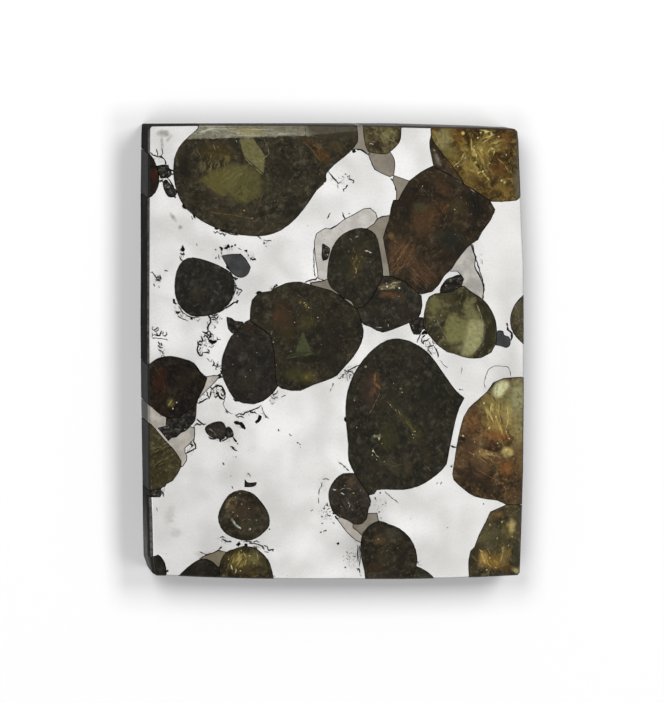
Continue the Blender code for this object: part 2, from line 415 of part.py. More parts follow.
# The grains, each cut flush with the slab and cut back from the grains before it
finishes = [(OLIVINE, 0.12, 0.0), (TROILITE, 0.35, 0.6), (SCHREIBERSITE, 0.30, 0.8),
            (OXIDE, 0.75, 0.0)]
placed = []
for rows, rough, metallic in finishes:
    for row in rows:
        body = grain(row[0], row, 0.0)
        pocket = grain(row[0] + "_pocket", row, GAP)
        combine(body, slab, "INTERSECT")
        for other, other_pocket in placed:
            if near(body, other_pocket):
                if row[0] == "oxide_patch_in_arch" and other.name == "schreibersite_arch":
                    combine(other, pocket, "DIFFERENCE")
                else:
                    combine(body, other_pocket, "DIFFERENCE")
        pieces = loose_parts(body)
        for scrap in pieces[1:]:
            bpy.data.objects.remove(scrap)
        body = pieces[0]
        body.name = row[0]
        tidy(body)
        finish(body, row[3], rough, metallic)
        placed.append((body, pocket))

# The nickel-iron is what the grains leave of the slab
bpy.ops.object.select_all(action="DESELECT")
for body, pocket in placed:
    pocket.select_set(True)
bpy.context.view_layer.objects.active = placed[0][1]
bpy.ops.object.join()
pockets = placed[0][1]
combine(slab, pockets, "DIFFERENCE", overlapping=True)
bpy.data.objects.remove(pockets)
metal = loose_parts(slab)
names = ["nickel_iron_plate", "nickel_iron_top_island"]
for piece in metal:
    if volume(piece) < SMALLEST:
        bpy.data.objects.remove(piece)
        continue
    piece.name = names.pop(0) if names else "nickel_iron_splinter"
    tidy(piece)
    finish(piece, METAL, 0.28, 1.0)
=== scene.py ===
# %% [markdown]
# # A pallasite slice
#
# A pallasite is a meteorite in which olivine crystals float in nickel-iron. This one is cut and
# polished, so its face shows bright metal, dark and golden crystals, taupe bands of schreibersite
# and black, rusted cracks. The solids come ready made as a fixed frame. This lesson gives each of
# them the finish of the real mineral, and replaces the metal by a copy with the real cracks cut in.

import bpy
import bmesh
import random
from math import atan2, degrees, pi, radians, tan
from mathutils import Matrix, Vector


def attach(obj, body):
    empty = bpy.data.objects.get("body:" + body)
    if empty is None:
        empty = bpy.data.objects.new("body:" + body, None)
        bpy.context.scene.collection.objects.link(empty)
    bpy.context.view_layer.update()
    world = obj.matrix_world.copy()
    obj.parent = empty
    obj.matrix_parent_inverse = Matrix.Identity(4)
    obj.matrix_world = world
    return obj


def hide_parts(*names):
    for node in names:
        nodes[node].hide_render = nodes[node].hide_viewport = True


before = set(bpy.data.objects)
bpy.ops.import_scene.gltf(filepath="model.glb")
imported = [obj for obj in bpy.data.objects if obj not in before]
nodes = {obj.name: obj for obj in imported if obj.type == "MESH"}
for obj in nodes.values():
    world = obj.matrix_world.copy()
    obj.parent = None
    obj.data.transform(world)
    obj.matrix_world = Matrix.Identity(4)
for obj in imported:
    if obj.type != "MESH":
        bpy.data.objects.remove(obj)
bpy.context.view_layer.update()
bpy.ops.object.select_all(action="DESELECT")

# %% [markdown]
# ## One chart for every place on the face
#
# All places on the slice are given as a chart reads them: x to the right and y up, in
# millimetres from the middle of the face. The slab isn't quite square, so a chart place is skewed
# a little to land on the model. With one function for this, every crack and every fleck of colour
# goes where the same chart says.

# %% The chart
MM = 0.001
FACE = 6.0                 # height of the polished face, in mm
EDGE = 0.2                 # height of the narrow ground strip between face and wall, in mm
SHIFT_X, SHIFT_Y = 0.185, -0.124     # where the chart's zero lies on the model, in mm
OUT_OF_SQUARE = 0.0256     # how far a place moves down for each millimetre to the right


def on_slab(x, y, z=FACE):
    """The point of the model, in metres, at a place of the chart and a height."""
    return Vector((x + SHIFT_X, y + SHIFT_Y - OUT_OF_SQUARE * x, z)) * MM


print("the chart's zero is at", on_slab(0, 0))

# %% [markdown]
# ## Camera
#
# The slice is seen nearly from straight above, from a little to the left and beyond its top edge,
# so that two of its walls just show. A long lens far away keeps the edges parallel, as in a
# product photograph. The camera's axes are built by hand, because a look-at helper picks an
# unsteady roll when it looks almost straight down.

# %% Camera
IMAGE = (665, 702)         # the picture's size in pixels
ACROSS = 7.68              # pixels that one millimetre of the face takes
AWAY = 1.5                 # distance of the camera in metres
TO_LEFT, TO_TOP = 12.9, 6.7          # how far it stands off the vertical, in degrees
LOOKS_AT = (-0.727, 0.239)           # the chart place in the middle of the picture
SENSOR = 36                # width of the camera's sensor in mm
toward = Vector((-tan(radians(TO_LEFT)), tan(radians(TO_TOP)), 1)).normalized()
right = Vector((0, 1, 0)).cross(toward).normalized()
up = toward.cross(right)
camera = bpy.data.objects.new("camera", bpy.data.cameras.new("camera"))
bpy.context.scene.collection.objects.link(camera)
turned = Matrix((right, up, toward)).transposed().to_quaternion()
camera.matrix_world = Matrix.LocRotScale(on_slab(*LOOKS_AT) + toward * AWAY, turned, None)
camera.data.sensor_width = SENSOR
camera.data.lens = SENSOR * AWAY / (max(IMAGE) / ACROSS * MM)
camera.data.clip_end = 10
bpy.context.scene.camera = camera
print("lens", round(camera.data.lens), "mm")

# %% [markdown]
# ## Light and floor
#
# Polished metal shows what it mirrors, and so does a polished crystal, only much more weakly.
# The metal has to look bright and the crystals dark. So four wide soft boxes hang overhead in a
# ring round the one direction that the face mirrors towards the camera: the satin metal blurs them
# together and shines, and the glassy crystals see the dark gap in the middle. The two upper boxes
# are the stronger ones, which lays the longest shadow below the slice.

# %% Light and floor
scene = bpy.context.scene
scene.view_settings.view_transform = "Standard"
world = bpy.data.worlds.new("studio")
scene.world = world
world.use_nodes = True
sky = world.node_tree.nodes["Background"].inputs
sky["Color"].default_value = (1, 1, 1, 1)
sky["Strength"].default_value = 0.16
HIGH = 1.8                 # height of the soft boxes in metres


def soft_box(name, left, right, bottom, top, brightness):
    """A flat lamp overhead, from left to right and bottom to top in shares of its height."""
    lamp = bpy.data.lights.new(name, "AREA")
    lamp.shape = "RECTANGLE"
    lamp.size = (right - left) * HIGH
    lamp.size_y = (top - bottom) * HIGH
    lamp.energy = brightness * pi * lamp.size * lamp.size_y
    box = bpy.data.objects.new(name, lamp)
    scene.collection.objects.link(box)
    box.location = ((left + right) / 2 * HIGH, (bottom + top) / 2 * HIGH, HIGH)


soft_box("box_upper_right", 0.35, 0.85, 0.25, 1.00, 7.8)
soft_box("box_upper_left", -0.85, -0.30, 0.25, 1.00, 7.0)
soft_box("box_lower_right", 0.46, 0.90, -0.50, 0.00, 5.5)
soft_box("box_lower_left", -0.70, -0.20, -0.50, 0.00, 3.5)

BELOW = 0.00002            # how far the floor lies under the slice, so that they never touch
bpy.ops.mesh.primitive_plane_add(size=6, location=(0, 0, -BELOW))
floor = bpy.context.active_object
floor.name = "floor"
floor_paint = bpy.data.materials.new("pale_floor")
floor_paint.use_nodes = True
matt = floor_paint.node_tree.nodes["Principled BSDF"].inputs
matt["Base Color"].default_value = (0.9, 0.9, 0.9, 1)
matt["Roughness"].default_value = 0.9
floor.data.materials.append(floor_paint)
floor.select_set(False)

# %% [markdown]
# ## Shader maths as plain sums
#
# Mineral finishes are sums of many soft patches and fine noise. Wired by hand that is a jungle of
# nodes, so one small class wraps a socket and turns Python's operators into Math nodes.

# %% A wrapped socket
class Tone:
    """A number that varies over a surface."""

    def __init__(self, paint, socket):
        self.paint, self.socket = paint, socket

    def math(self, operation, *others):
        node = self.paint.node("Math", {"operation": operation}, self, *others)
        return Tone(self.paint, node.outputs[0])

    def __add__(self, other): return self.math("ADD", other)
    def __sub__(self, other): return self.math("SUBTRACT", other)
    def __mul__(self, other): return self.math("MULTIPLY", other)
    def __rsub__(self, other): return (self * -1) + other
    __radd__, __rmul__ = __add__, __mul__

    def ramp(self, low, high, most=1.0):
        """0 below low and most above high, smooth between; low may be the greater."""
        node = self.paint.node("MapRange", {"interpolation_type": "SMOOTHSTEP"},
                               self, low, high, 0.0, most)
        return Tone(self.paint, node.outputs[0])


class Paint:
    """A material with one Principled shader, and the chart place of each point of its surface."""

    def __init__(self, name):
        self.material = bpy.data.materials.new(name)
        self.material.use_nodes = True
        self.tree = self.material.node_tree
        self.shader = self.tree.nodes["Principled BSDF"]
        model = self.node("TexCoord", {}).outputs["Object"]
        split = self.node("SeparateXYZ", {}, model)
        x = Tone(self, split.outputs[0]) * 1000 - SHIFT_X
        y = Tone(self, split.outputs[1]) * 1000 - SHIFT_Y + x * OUT_OF_SQUARE
        self.x, self.y, self.z = x, y, Tone(self, split.outputs[2]) * 1000
        self.place = self.node("CombineXYZ", {}, x, y, 0.0).outputs[0]
        self.deep = self.node("CombineXYZ", {}, x, y, self.z).outputs[0]

    def node(self, kind, settings, *values):
        """Any node: its settings first, then its sockets' values or links in order."""
        made = self.tree.nodes.new("ShaderNode" + kind)
        for key, value in settings.items():
            setattr(made, key, value)
        for socket, value in zip([s for s in made.inputs if s.enabled], values):
            if value is None:
                continue
            if isinstance(value, Tone):
                value = value.socket
            if isinstance(value, bpy.types.NodeSocket):
                self.tree.links.new(value, socket)
            else:
                socket.default_value = value
        return made

    def noise(self, size, detail=3.0, place=None, rough=0.5, stretch=None, turn=0.0):
        """Cloudy noise from 0 to 1 about 0.5, whose clouds are about size millimetres wide."""
        place = place or self.deep
        if stretch:
            place = self.node("Mapping", {"vector_type": "TEXTURE"}, place, None,
                              (0, 0, turn), (*stretch, 1)).outputs[0]
        made = self.node("TexNoise", {"noise_dimensions": "3D"}, place, 1 / size, detail, rough)
        return Tone(self, made.outputs[0])

    def patch(self, x, y, long, wide, turn=0.0, soft=0.6, place=None, share=1.0):
        """The share inside an oval, fading to 0 over its outer part, as much as soft says."""
        oval = self.node("Mapping", {"vector_type": "TEXTURE"}, place or self.place,
                         (x, y, 0), (0, 0, radians(turn)), (long, wide, 1))
        ball = self.node("TexGradient", {"gradient_type": "SPHERICAL"}, oval.outputs[0])
        return Tone(self, ball.outputs["Fac"]).ramp(0.0, soft, share)

    def warped(self, size, amount):
        """The chart place pushed about by noise, so that no border drawn on it is smooth."""
        cloud = self.node("TexNoise", {"noise_dimensions": "3D"}, self.deep, 1 / size, 3.0, 0.55)
        push = self.node("VectorMath", {"operation": "SUBTRACT"},
                         cloud.outputs["Color"], (0.5, 0.5, 0.5))
        push = self.node("VectorMath", {"operation": "MULTIPLY"},
                         push.outputs[0], (4 * amount, 4 * amount, 0))
        return self.node("VectorMath", {"operation": "ADD"}, self.place, push.outputs[0]).outputs[0]

    def stroke(self, width, numbers, place=None, soft=0.7):
        """1 along a line through chart places, one thin oval for each straight piece of it."""
        ends = [Vector(numbers[i:i + 2]) for i in range(0, len(numbers), 2)]
        if len(ends) == 1:
            return self.patch(*ends[0], width / 2, width / 2, 0, soft, place)
        whole = None
        for a, b in zip(ends, ends[1:]):
            turn = degrees(atan2(b.y - a.y, b.x - a.x))
            long = (b - a).length * 0.58 + width / 2
            part = self.patch(*((a + b) / 2), long, width / 2, turn, soft, place)
            whole = part if whole is None else whole.math("MAXIMUM", part)
        return whole

    def facet(self, corners, soft, place=None):
        """1 inside a convex outline with straight sides, rising to it over soft millimetres."""
        split = self.node("SeparateXYZ", {}, place or self.place)
        x, y = Tone(self, split.outputs[0]), Tone(self, split.outputs[1])
        centre = sum((Vector(c) for c in corners), Vector((0, 0))) / len(corners)
        whole = None
        for a, b in zip(corners, corners[1:] + corners[:1]):
            out = Vector((b[1] - a[1], a[0] - b[0])).normalized()
            if out.dot(Vector(a) - centre) < 0:
                out = -out
            part = (x * -out.x + y * -out.y + out.dot(Vector(a))).ramp(0.0, soft)
            whole = part if whole is None else whole * part
        return whole

    def mix(self, share, first, second):
        """One colour where share is 0 and the other where it is 1."""
        made = self.node("Mix", {"data_type": "RGBA"}, share, first, second)
        return [out for out in made.outputs if out.enabled][0]

    def bump(self, strength, deep, value):
        """A surface roughened by a value, deep metres from its lowest to its highest."""
        return self.node("Bump", {}, strength, deep, None, value).outputs[0]

    def set(self, **sockets):
        """Gives the shader's sockets a value or a link each; _ stands for a blank."""
        for name, value in sockets.items():
            socket = self.shader.inputs[name.replace("_", " ")]
            if isinstance(value, Tone):
                value = value.socket
            if isinstance(value, bpy.types.NodeSocket):
                self.tree.links.new(value, socket)
            else:
                socket.default_value = value


def rgb(*levels):
    """A colour given in the steps of a screen, 0 to 255."""
    return tuple(v / 255 / 12.92 if v < 11 else ((v / 255 + 0.055) / 1.055) ** 2.4
                 for v in levels) + (1,)


print("helpers ready")

# %% [markdown]
# ## Cracks and chips
#
# Where the metal has rusted along its grain borders, the polish shows black cracks, curls and
# chips. They could be painted on, but they are real hollows and catch the light as such. So each
# crack is drawn as a curve on the face, with a diamond section that tapers and wavers, and each
# chip as a flat outline with some depth. Made into meshes, they are taken out of a copy of the
# metal in one Boolean cut.

# %% The cracks, as half widths in mm and chart places
CRACKS = [
    # top left corner and round the first crystals
    (0.13, -25.0, 26.1, -24.6, 25.8, -24.1, 25.6, -23.6, 25.6, -23.1, 25.3, -22.9, 25.0, -22.85,
     24.4),
    (0.11, -24.1, 26.6, -24.0, 26.0, -23.9, 25.5),
    (0.11, -23.4, 26.7, -23.3, 26.0, -23.5, 25.7, -23.2, 25.4),
    (0.22, -22.5, 24.0, -22.15, 23.75, -21.8, 23.8), (0.16, -22.5, 23.5, -22.1, 23.3, -21.8, 23.3),
    (0.14, -24.0, 22.7, -23.7, 22.4, -23.4, 22.5, -23.2, 22.1),
    (0.12, -23.9, 22.2, -23.5, 22.3, -23.2, 22.6),
    (0.14, -22.7, 22.9, -22.4, 22.5, -22.2, 22.2, -21.8, 21.6), (0.14, -21.8, 20.45, -21.5, 20.25),
    (0.30, -20.65, 19.35, -20.4, 18.95, -20.15, 18.8),
    (0.18, -19.3, 18.05, -19.15, 17.7, -18.95, 17.5), (0.10, -19.5, 17.9, -19.3, 17.3),
    (0.24, -16.45, 16.3, -15.9, 16.15), (0.13, -16.6, 15.85, -16.3, 15.6, -16.1, 15.9, -15.9, 15.6),
    (0.13, -15.9, 15.75, -15.6, 15.45, -15.35, 15.7, -15.1, 15.25, -14.95, 15.6),
    (0.11, -15.9, 16.0, -15.0, 15.75, -14.3, 15.5, -13.2, 15.35), (0.10, -15.0, 15.9, -14.4, 15.8),
    (0.16, -10.75, 15.35, -10.4, 15.1, -10.2, 14.9),
    (0.12, -9.9, 14.75, -9.5, 14.6, -9.1, 14.75, -8.8, 14.6), (0.20, -9.85, 14.4, -9.75, 14.2),
    (0.10, -9.65, 14.0, -9.55, 13.85), (0.20, -18.85, 14.1, -18.7, 14.15),
    (0.09, -18.25, 13.5, -18.15, 13.45), (0.10, -16.3, 13.55, -16.2, 13.4),
    (0.22, -16.3, 12.45, -16.15, 12.3), (0.09, -15.95, 12.9, -15.8, 12.2),
    (0.20, -21.0, 12.95, -20.7, 12.85, -20.45, 12.95),
    (0.20, -21.05, 12.6, -20.95, 12.2, -20.7, 12.0), (0.10, -20.6, 13.1, -20.4, 12.8),
    (0.26, -15.75, 13.85, -15.45, 13.6, -15.5, 13.35), (0.12, -15.6, 13.3, -15.45, 12.8),
    (0.30, -15.15, 13.65, -14.85, 13.7, -14.6, 13.95, -14.4, 13.8),
    (0.18, -14.3, 13.85, -14.0, 13.95), (0.20, -13.85, 14.1, -13.6, 14.1),
    (0.26, -12.5, 13.4, -12.2, 13.35, -12.15, 13.1), (0.09, -12.0, 12.9, -11.85, 12.6),
    (0.20, -11.65, 12.4, -11.4, 12.2, -11.1, 12.25, -10.9, 12.1), (0.09, -13.4, 13.7, -12.8, 13.5),
    (0.14, -14.9, 11.4, -14.6, 11.0, -14.3, 10.7, -14.15, 10.3),
    # left edge
    (0.12, -23.1, 10.8, -22.8, 10.7, -22.6, 10.6),
    (0.12, -25.0, 10.4, -24.7, 10.5, -24.5, 10.3, -24.2, 9.8, -23.9, 9.95, -23.6, 9.6, -23.7, 9.2),
    (0.12, -24.3, 9.6, -24.05, 9.45, -24.1, 9.9), (0.12, -23.65, 10.15, -23.5, 9.6),
    (0.10, -24.5, 9.0, -24.4, 8.7), (0.10, -23.85, 8.7, -23.75, 8.5),
    (0.16, -24.0, 9.5, -23.75, 9.45),
    (0.13, -24.8, 3.3, -24.6, 3.4, -24.7, 3.1, -24.4, 2.9, -24.2, 3.2, -24.0, 3.3, -23.9, 3.0,
     -24.2, 2.8, -24.5, 2.95),
    (0.13, -24.8, 2.2, -24.4, 2.4, -24.0, 2.3, -23.7, 2.2, -23.6, 2.6, -23.4, 2.9),
    (0.13, -24.7, 2.6, -24.7, 2.1), (0.13, -24.1, 2.7, -24.1, 2.2),
    (0.13, -23.4, 2.3, -23.0, 2.2, -22.8, 2.4, -22.9, 2.8), (0.10, -23.2, 2.75, -23.3, 2.4),
    (0.10, -24.8, 2.0, -24.2, 1.9, -23.5, 1.9, -22.9, 1.8, -22.6, 1.6),
    (0.13, -23.9, 1.5, -23.7, 1.05, -23.9, 0.9, -23.5, 0.6, -23.3, 0.65),
    (0.12, -23.9, 0.5, -23.5, 0.2, -23.3, 0.0, -23.1, -0.1),
    (0.10, -23.6, -0.6, -23.4, -0.25, -23.2, -0.3, -23.0, -0.5), (0.10, -23.6, 1.3, -23.4, 0.9),
    # round the crystal below, its chips and the big curls to its right
    (0.16, -21.45, 7.2, -21.2, 6.8, -21.3, 6.4), (0.30, -21.55, 5.4, -21.25, 5.2, -20.95, 5.35),
    (0.10, -21.2, 6.2, -20.85, 5.5, -20.3, 5.0, -19.8, 4.7, -19.2, 4.6, -18.4, 4.65),
    (0.11, -21.3, 4.8, -20.8, 4.5, -20.3, 4.3, -19.9, 4.15), (0.20, -19.7, 4.5, -19.35, 4.4),
    (0.12, -18.85, 4.3, -18.6, 4.15, -18.35, 4.4),
    (0.16, -17.25, 4.9, -17.0, 4.45, -16.9, 4.0, -17.2, 3.6, -17.4, 3.3, -17.3, 2.8),
    (0.14, -17.0, 4.55, -16.5, 4.7, -16.2, 4.45, -15.9, 4.85),
    (0.12, -16.85, 4.3, -16.4, 4.4, -16.2, 4.0), (0.12, -15.75, 4.65, -15.5, 4.4, -15.35, 4.6),
    (0.12, -17.0, 5.0, -16.5, 4.85, -15.9, 5.1), (0.10, -17.4, 4.0, -17.35, 3.7, -17.0, 3.7),
    (0.16, -16.1, 5.2, -15.4, 5.6, -14.8, 5.95, -14.2, 6.3, -13.9, 6.6, -13.5, 6.65),
    (0.30, -13.55, 6.7, -13.35, 6.65),
    (0.10, -16.6, 5.0, -15.6, 5.45, -14.6, 6.35, -14.1, 7.1, -13.75, 7.9, -13.6, 8.6, -13.7, 9.2),
    (0.16, -13.6, 8.6, -13.2, 8.35, -12.75, 8.1, -13.05, 7.8, -13.35, 7.45),
    (0.12, -13.5, 7.6, -13.3, 8.1), (0.20, -13.95, 9.95, -13.6, 9.6, -13.3, 9.75),
    (0.14, -13.75, 8.8, -13.45, 8.75),
    (0.16, -18.1, 2.75, -17.6, 2.5, -17.2, 2.8, -16.9, 2.5, -16.6, 2.3),
    (0.18, -17.8, 2.35, -17.4, 2.2, -17.0, 2.4, -16.9, 2.1, -17.3, 1.95, -17.6, 2.1),
    (0.14, -17.6, 2.7, -17.3, 2.35, -17.1, 2.1), (0.12, -18.0, 2.1, -17.7, 2.15),
    (0.16, -18.25, 2.2, -18.1, 1.8, -18.0, 1.5, -18.35, 1.5, -18.6, 1.25, -18.3, 1.0, -18.0, 1.05),
    (0.13, -18.7, 1.6, -18.6, 0.9, -18.8, 0.4, -18.6, 0.0, -18.35, -0.35, -18.1, -0.3, -18.0, 0.1),
    (0.12, -18.3, 0.7, -18.5, 0.3), (0.12, -17.2, 0.9, -16.8, 0.7, -16.5, 1.0),
    (0.14, -17.4, 0.5, -17.2, 0.3, -17.2, -0.05, -17.4, 0.1, -17.7, 0.0, -18.0, 0.1),
    (0.13, -16.15, 2.1, -16.0, 1.75, -15.6, 1.75), (0.12, -16.45, 3.6, -16.3, 3.3, -16.55, 3.2),
    (0.09, -17.6, -0.6, -17.2, -0.9, -17.1, -1.2), (0.09, -16.9, -1.2, -16.7, -0.9),
    (0.13, -16.6, -1.0, -16.5, -1.4, -16.75, -1.7, -16.4, -1.7, -16.0, -1.85, -16.1, -1.3),
    (0.20, -16.65, -1.6, -16.45, -1.65), (0.10, -16.35, -2.1, -16.2, -2.15),
    (0.22, -15.65, -2.3, -15.55, -2.7, -15.9, -2.9, -15.5, -3.15, -15.9, -3.2, -16.3, -3.0),
    (0.14, -17.9, -3.2, -17.1, -3.35, -16.6, -3.0, -16.1, -3.1), (0.10, -15.4, -0.9, -15.45, -2.3),
    (0.13, -16.05, -3.2, -16.45, -3.75, -17.3, -4.5, -18.0, -5.1, -18.6, -5.9, -18.95, -6.8),
    # below: loops, chips and the thin crack beside the porous rust
    (0.15, -17.05, -4.3, -16.8, -4.75, -16.4, -4.5, -16.0, -4.25, -15.5, -4.4, -15.15, -5.0, -15.0,
     -5.6),
    (0.18, -15.0, -5.6, -15.2, -6.1, -15.6, -6.0, -15.95, -5.6, -16.3, -5.8, -16.5, -5.6),
    (0.30, -16.3, -5.35, -16.0, -5.3, -15.9, -5.7), (0.14, -15.6, -5.3, -15.3, -5.7, -15.1, -5.2),
    (0.12, -15.7, -4.9, -15.4, -4.8, -15.3, -5.3),
    (0.15, -17.55, -5.0, -17.35, -5.5, -17.1, -6.0, -17.0, -5.4, -16.85, -4.9),
    (0.13, -18.9, -6.6, -18.5, -6.6, -18.0, -6.3, -17.5, -6.0, -17.2, -5.95),
    (0.09, -15.1, -6.1, -15.3, -6.7, -15.0, -7.3, -14.7, -7.7, -14.3, -7.9, -13.9, -8.05),
    (0.10, -15.05, -7.6, -14.7, -7.95),
    (0.13, -13.6, -8.25, -13.2, -8.0, -12.6, -8.05, -12.4, -7.8, -11.9, -7.7, -11.4, -7.5, -11.0,
     -7.3, -10.5, -7.1, -10.2, -6.85),
    (0.13, -13.4, -8.45, -12.9, -8.3, -12.5, -8.5),
    (0.14, -11.9, -7.5, -11.6, -7.8, -11.1, -7.8, -10.8, -8.0),
    (0.09, -10.2, -7.0, -10.0, -7.6, -9.8, -8.1, -9.4, -8.4, -9.2, -8.6),
    (0.14, -9.7, -8.4, -9.55, -8.4),
    (0.28, -13.85, -9.05, -13.4, -9.2, -12.95, -9.25, -12.65, -9.7, -12.4, -9.95),
    (0.20, -14.0, -6.0, -13.6, -6.3, -13.1, -6.25),
    (0.12, -9.0, -5.1, -8.6, -5.5, -8.2, -5.3, -8.0, -4.9),
    (0.11, -9.0, -5.7, -8.5, -6.0, -8.1, -5.8), (0.12, -9.0, -6.6, -8.7, -6.7, -8.5, -6.4),
    (0.08, -7.6, -5.9, -6.9, -5.5),
    (0.14, -19.15, -9.5, -19.2, -10.3, -19.15, -11.0, -19.2, -11.6, -19.05, -12.0, -18.95, -12.5,
     -19.5, -12.75, -20.0, -13.0, -20.3, -13.2),
    (0.14, -19.2, -12.1, -19.5, -12.05, -19.75, -11.9, -20.2, -11.9, -20.45, -12.3, -20.55, -12.9,
     -20.3, -13.2, -20.2, -13.9, -20.45, -14.4, -20.8, -14.85, -21.0, -14.9),
    (0.30, -19.55, -12.1, -19.35, -12.1),
    (0.14, -19.2, -9.6, -18.8, -9.3, -18.4, -9.4, -18.0, -9.2),
    (0.13, -18.9, -8.6, -18.4, -9.1, -17.9, -9.35, -17.5, -9.3),
    (0.12, -17.3, -11.0, -16.9, -11.25, -16.4, -11.3, -16.1, -11.2),
    (0.30, -15.85, -11.35, -15.55, -11.45), (0.13, -15.5, -11.6, -15.0, -11.35, -14.6, -11.1),
    (0.16, -14.05, -11.0, -13.8, -11.35, -13.45, -11.7), (0.10, -13.4, -11.8, -13.3, -11.95),
    (0.16, -14.4, -12.3, -14.1, -12.35, -13.9, -12.6, -13.4, -12.85),
    (0.12, -14.15, -12.6, -13.8, -12.4), (0.10, -13.95, -13.6, -13.9, -13.65),
    (0.10, -13.65, -13.6, -13.6, -13.65), (0.12, -15.35, -14.4, -15.15, -14.65),
    (0.12, -14.35, -16.1, -14.25, -16.15), (0.10, -12.15, -15.75, -11.85, -15.9, -11.6, -16.25),
    (0.09, -11.9, -12.7, -11.85, -12.75), (0.12, -14.15, -17.5, -14.0, -17.75),
    (0.12, -8.0, -10.0, -7.9, -10.3), (0.09, -9.8, -17.4, -9.7, -17.45),
    (0.10, -6.6, -10.55, -6.1, -10.95), (0.18, -5.5, -11.75, -5.3, -11.8),
    (0.10, -5.2, -11.9, -5.0, -12.05), (0.09, -5.05, -12.35, -4.95, -12.4),
    # lower left
    (0.11, -15.8, -24.2, -15.4, -24.1, -15.1, -24.3),
    (0.13, -15.5, -24.4, -15.1, -24.6, -14.7, -24.8, -14.2, -24.7),
    (0.36, -13.4, -24.95, -13.15, -25.2), (0.32, -12.5, -25.1, -12.05, -25.25),
    (0.12, -12.7, -24.8, -12.0, -24.7, -11.5, -24.8),
    (0.14, -11.35, -24.75, -10.9, -24.7, -10.55, -24.85),
    (0.12, -11.95, -24.95, -11.1, -25.0, -10.5, -25.2, -10.1, -25.4, -9.85, -25.9),
    (0.12, -9.9, -25.2, -9.4, -25.4, -9.3, -25.9, -8.85, -25.8, -8.6, -26.1),
    (0.11, -9.9, -26.1, -9.2, -26.2), (0.10, -11.4, -25.4, -10.9, -25.6, -10.5, -26.0),
    (0.16, -8.8, -25.75, -8.65, -25.9), (0.16, -16.0, -25.85, -15.65, -25.5, -15.5, -25.4),
    (0.09, -18.6, -26.0, -17.9, -26.3, -17.5, -26.55),
    (0.12, -18.5, -27.05, -17.6, -26.5, -16.6, -26.18, -15.9, -25.87, -15.4, -26.15, -15.0, -26.35),
    (0.20, -22.85, -28.45, -22.7, -28.7), (0.12, -22.95, -26.25, -22.85, -26.35),
    (0.10, -24.15, -20.2, -24.1, -20.75), (0.12, -23.5, -18.0, -23.35, -18.4, -23.25, -18.9),
    (0.16, -9.25, -23.1, -9.1, -23.15), (0.10, -7.4, -28.9, -7.35, -28.95),
    (0.10, -6.85, -29.2, -6.8, -29.3), (0.22, -23.0, -17.2, -23.3, -17.5),
    (0.12, -8.7, -29.2, -8.45, -29.35),
    # middle, between the crystals
    (0.12, -1.35, 23.8, -0.9, 23.2, -0.4, 22.7, 0.0, 22.2, 0.15, 22.15),
    (0.09, 0.1, 22.35, 0.35, 22.3), (0.30, -2.35, 22.95, -2.0, 22.55, -1.65, 22.8),
    (0.20, -1.75, 22.3, -1.55, 22.9), (0.22, -2.1, 22.05, -1.9, 22.2),
    (0.18, 0.62, 23.05, 0.7, 23.05), (0.10, 0.9, 23.4, 1.15, 23.3),
    (0.10, 1.15, 23.35, 1.3, 23.0, 1.55, 23.2, 1.6, 22.9, 1.4, 22.8, 1.9, 22.6, 2.1, 22.5, 2.1,
     22.3, 1.9, 22.2),
    (0.13, 1.3, 22.0, 1.2, 21.8, 1.0, 21.5, 0.75, 21.4, 0.8, 21.1), (0.07, 0.0, 22.1, 0.05, 21.5),
    (0.11, -1.45, 17.55, -1.3, 17.8, -1.2, 18.1, -0.95, 18.35),
    (0.13, 0.65, 18.35, 0.7, 17.95, 0.95, 17.65, 1.1, 17.45), (0.09, 1.4, 18.25, 1.6, 18.2),
    (0.12, -4.05, 16.65, -3.95, 16.65), (0.12, 9.3, 25.15, 9.4, 25.15),
    (0.16, -8.9, 8.3, -8.6, 8.45, -8.4, 8.7, -8.1, 8.75), (0.16, -8.3, 8.95, -8.1, 8.75),
    (0.20, -11.0, 7.75, -10.5, 7.95, -10.1, 7.95),
    (0.15, -4.4, 9.2, -3.9, 9.5, -3.4, 9.55, -3.0, 9.6, -2.75, 9.9), (0.22, -3.75, 9.15, -3.6, 9.1),
    (0.12, -3.45, 9.25, -2.8, 9.25, -2.2, 9.4, -1.9, 9.6),
    (0.14, 4.15, 25.95, 4.4, 25.2, 4.9, 24.1, 5.6, 23.72, 6.6, 23.22, 7.0, 23.02),
    (0.22, 7.35, 23.35, 8.0, 23.22, 9.0, 22.82, 9.7, 22.5),
    (0.15, 7.05, 22.9, 7.35, 22.5, 7.65, 21.9, 7.72, 21.3),
    (0.16, 2.4, 26.75, 2.7, 26.6, 3.3, 26.5, 3.8, 26.1, 4.1, 25.95), (0.30, 1.9, 26.3, 2.3, 26.5),
    (0.13, 7.05, 26.15, 7.45, 25.3, 7.52, 24.5, 7.5, 23.5),
    (0.24, 7.2, 26.55, 7.6, 26.7, 7.9, 26.95),
    (0.12, 3.9, 16.3, 4.9, 17.1, 5.3, 17.55, 6.0, 17.85, 6.9, 18.0),
    (0.26, 10.9, 29.6, 11.5, 29.3, 12.0, 29.0, 12.3, 28.5), (0.40, 20.88, 18.42, 20.95, 18.4),
    (0.22, 21.75, 19.92, 21.95, 19.95), (0.14, 20.7, 19.0, 20.9, 18.7),
    (0.20, 17.85, 14.3, 18.0, 13.4, 18.45, 12.6, 18.35, 12.2, 18.22, 11.5, 18.3, 11.1, 18.9, 10.2,
     19.2, 9.4, 19.5, 8.9, 19.5, 8.3, 19.4, 7.6, 19.35, 7.0),
    (0.16, 18.6, 15.0, 18.75, 14.9), (0.07, 19.3, 12.3, 19.35, 11.6),
    (0.20, 14.5, 10.5, 14.9, 10.9, 15.4, 10.75),
    # speckled patches right of the middle
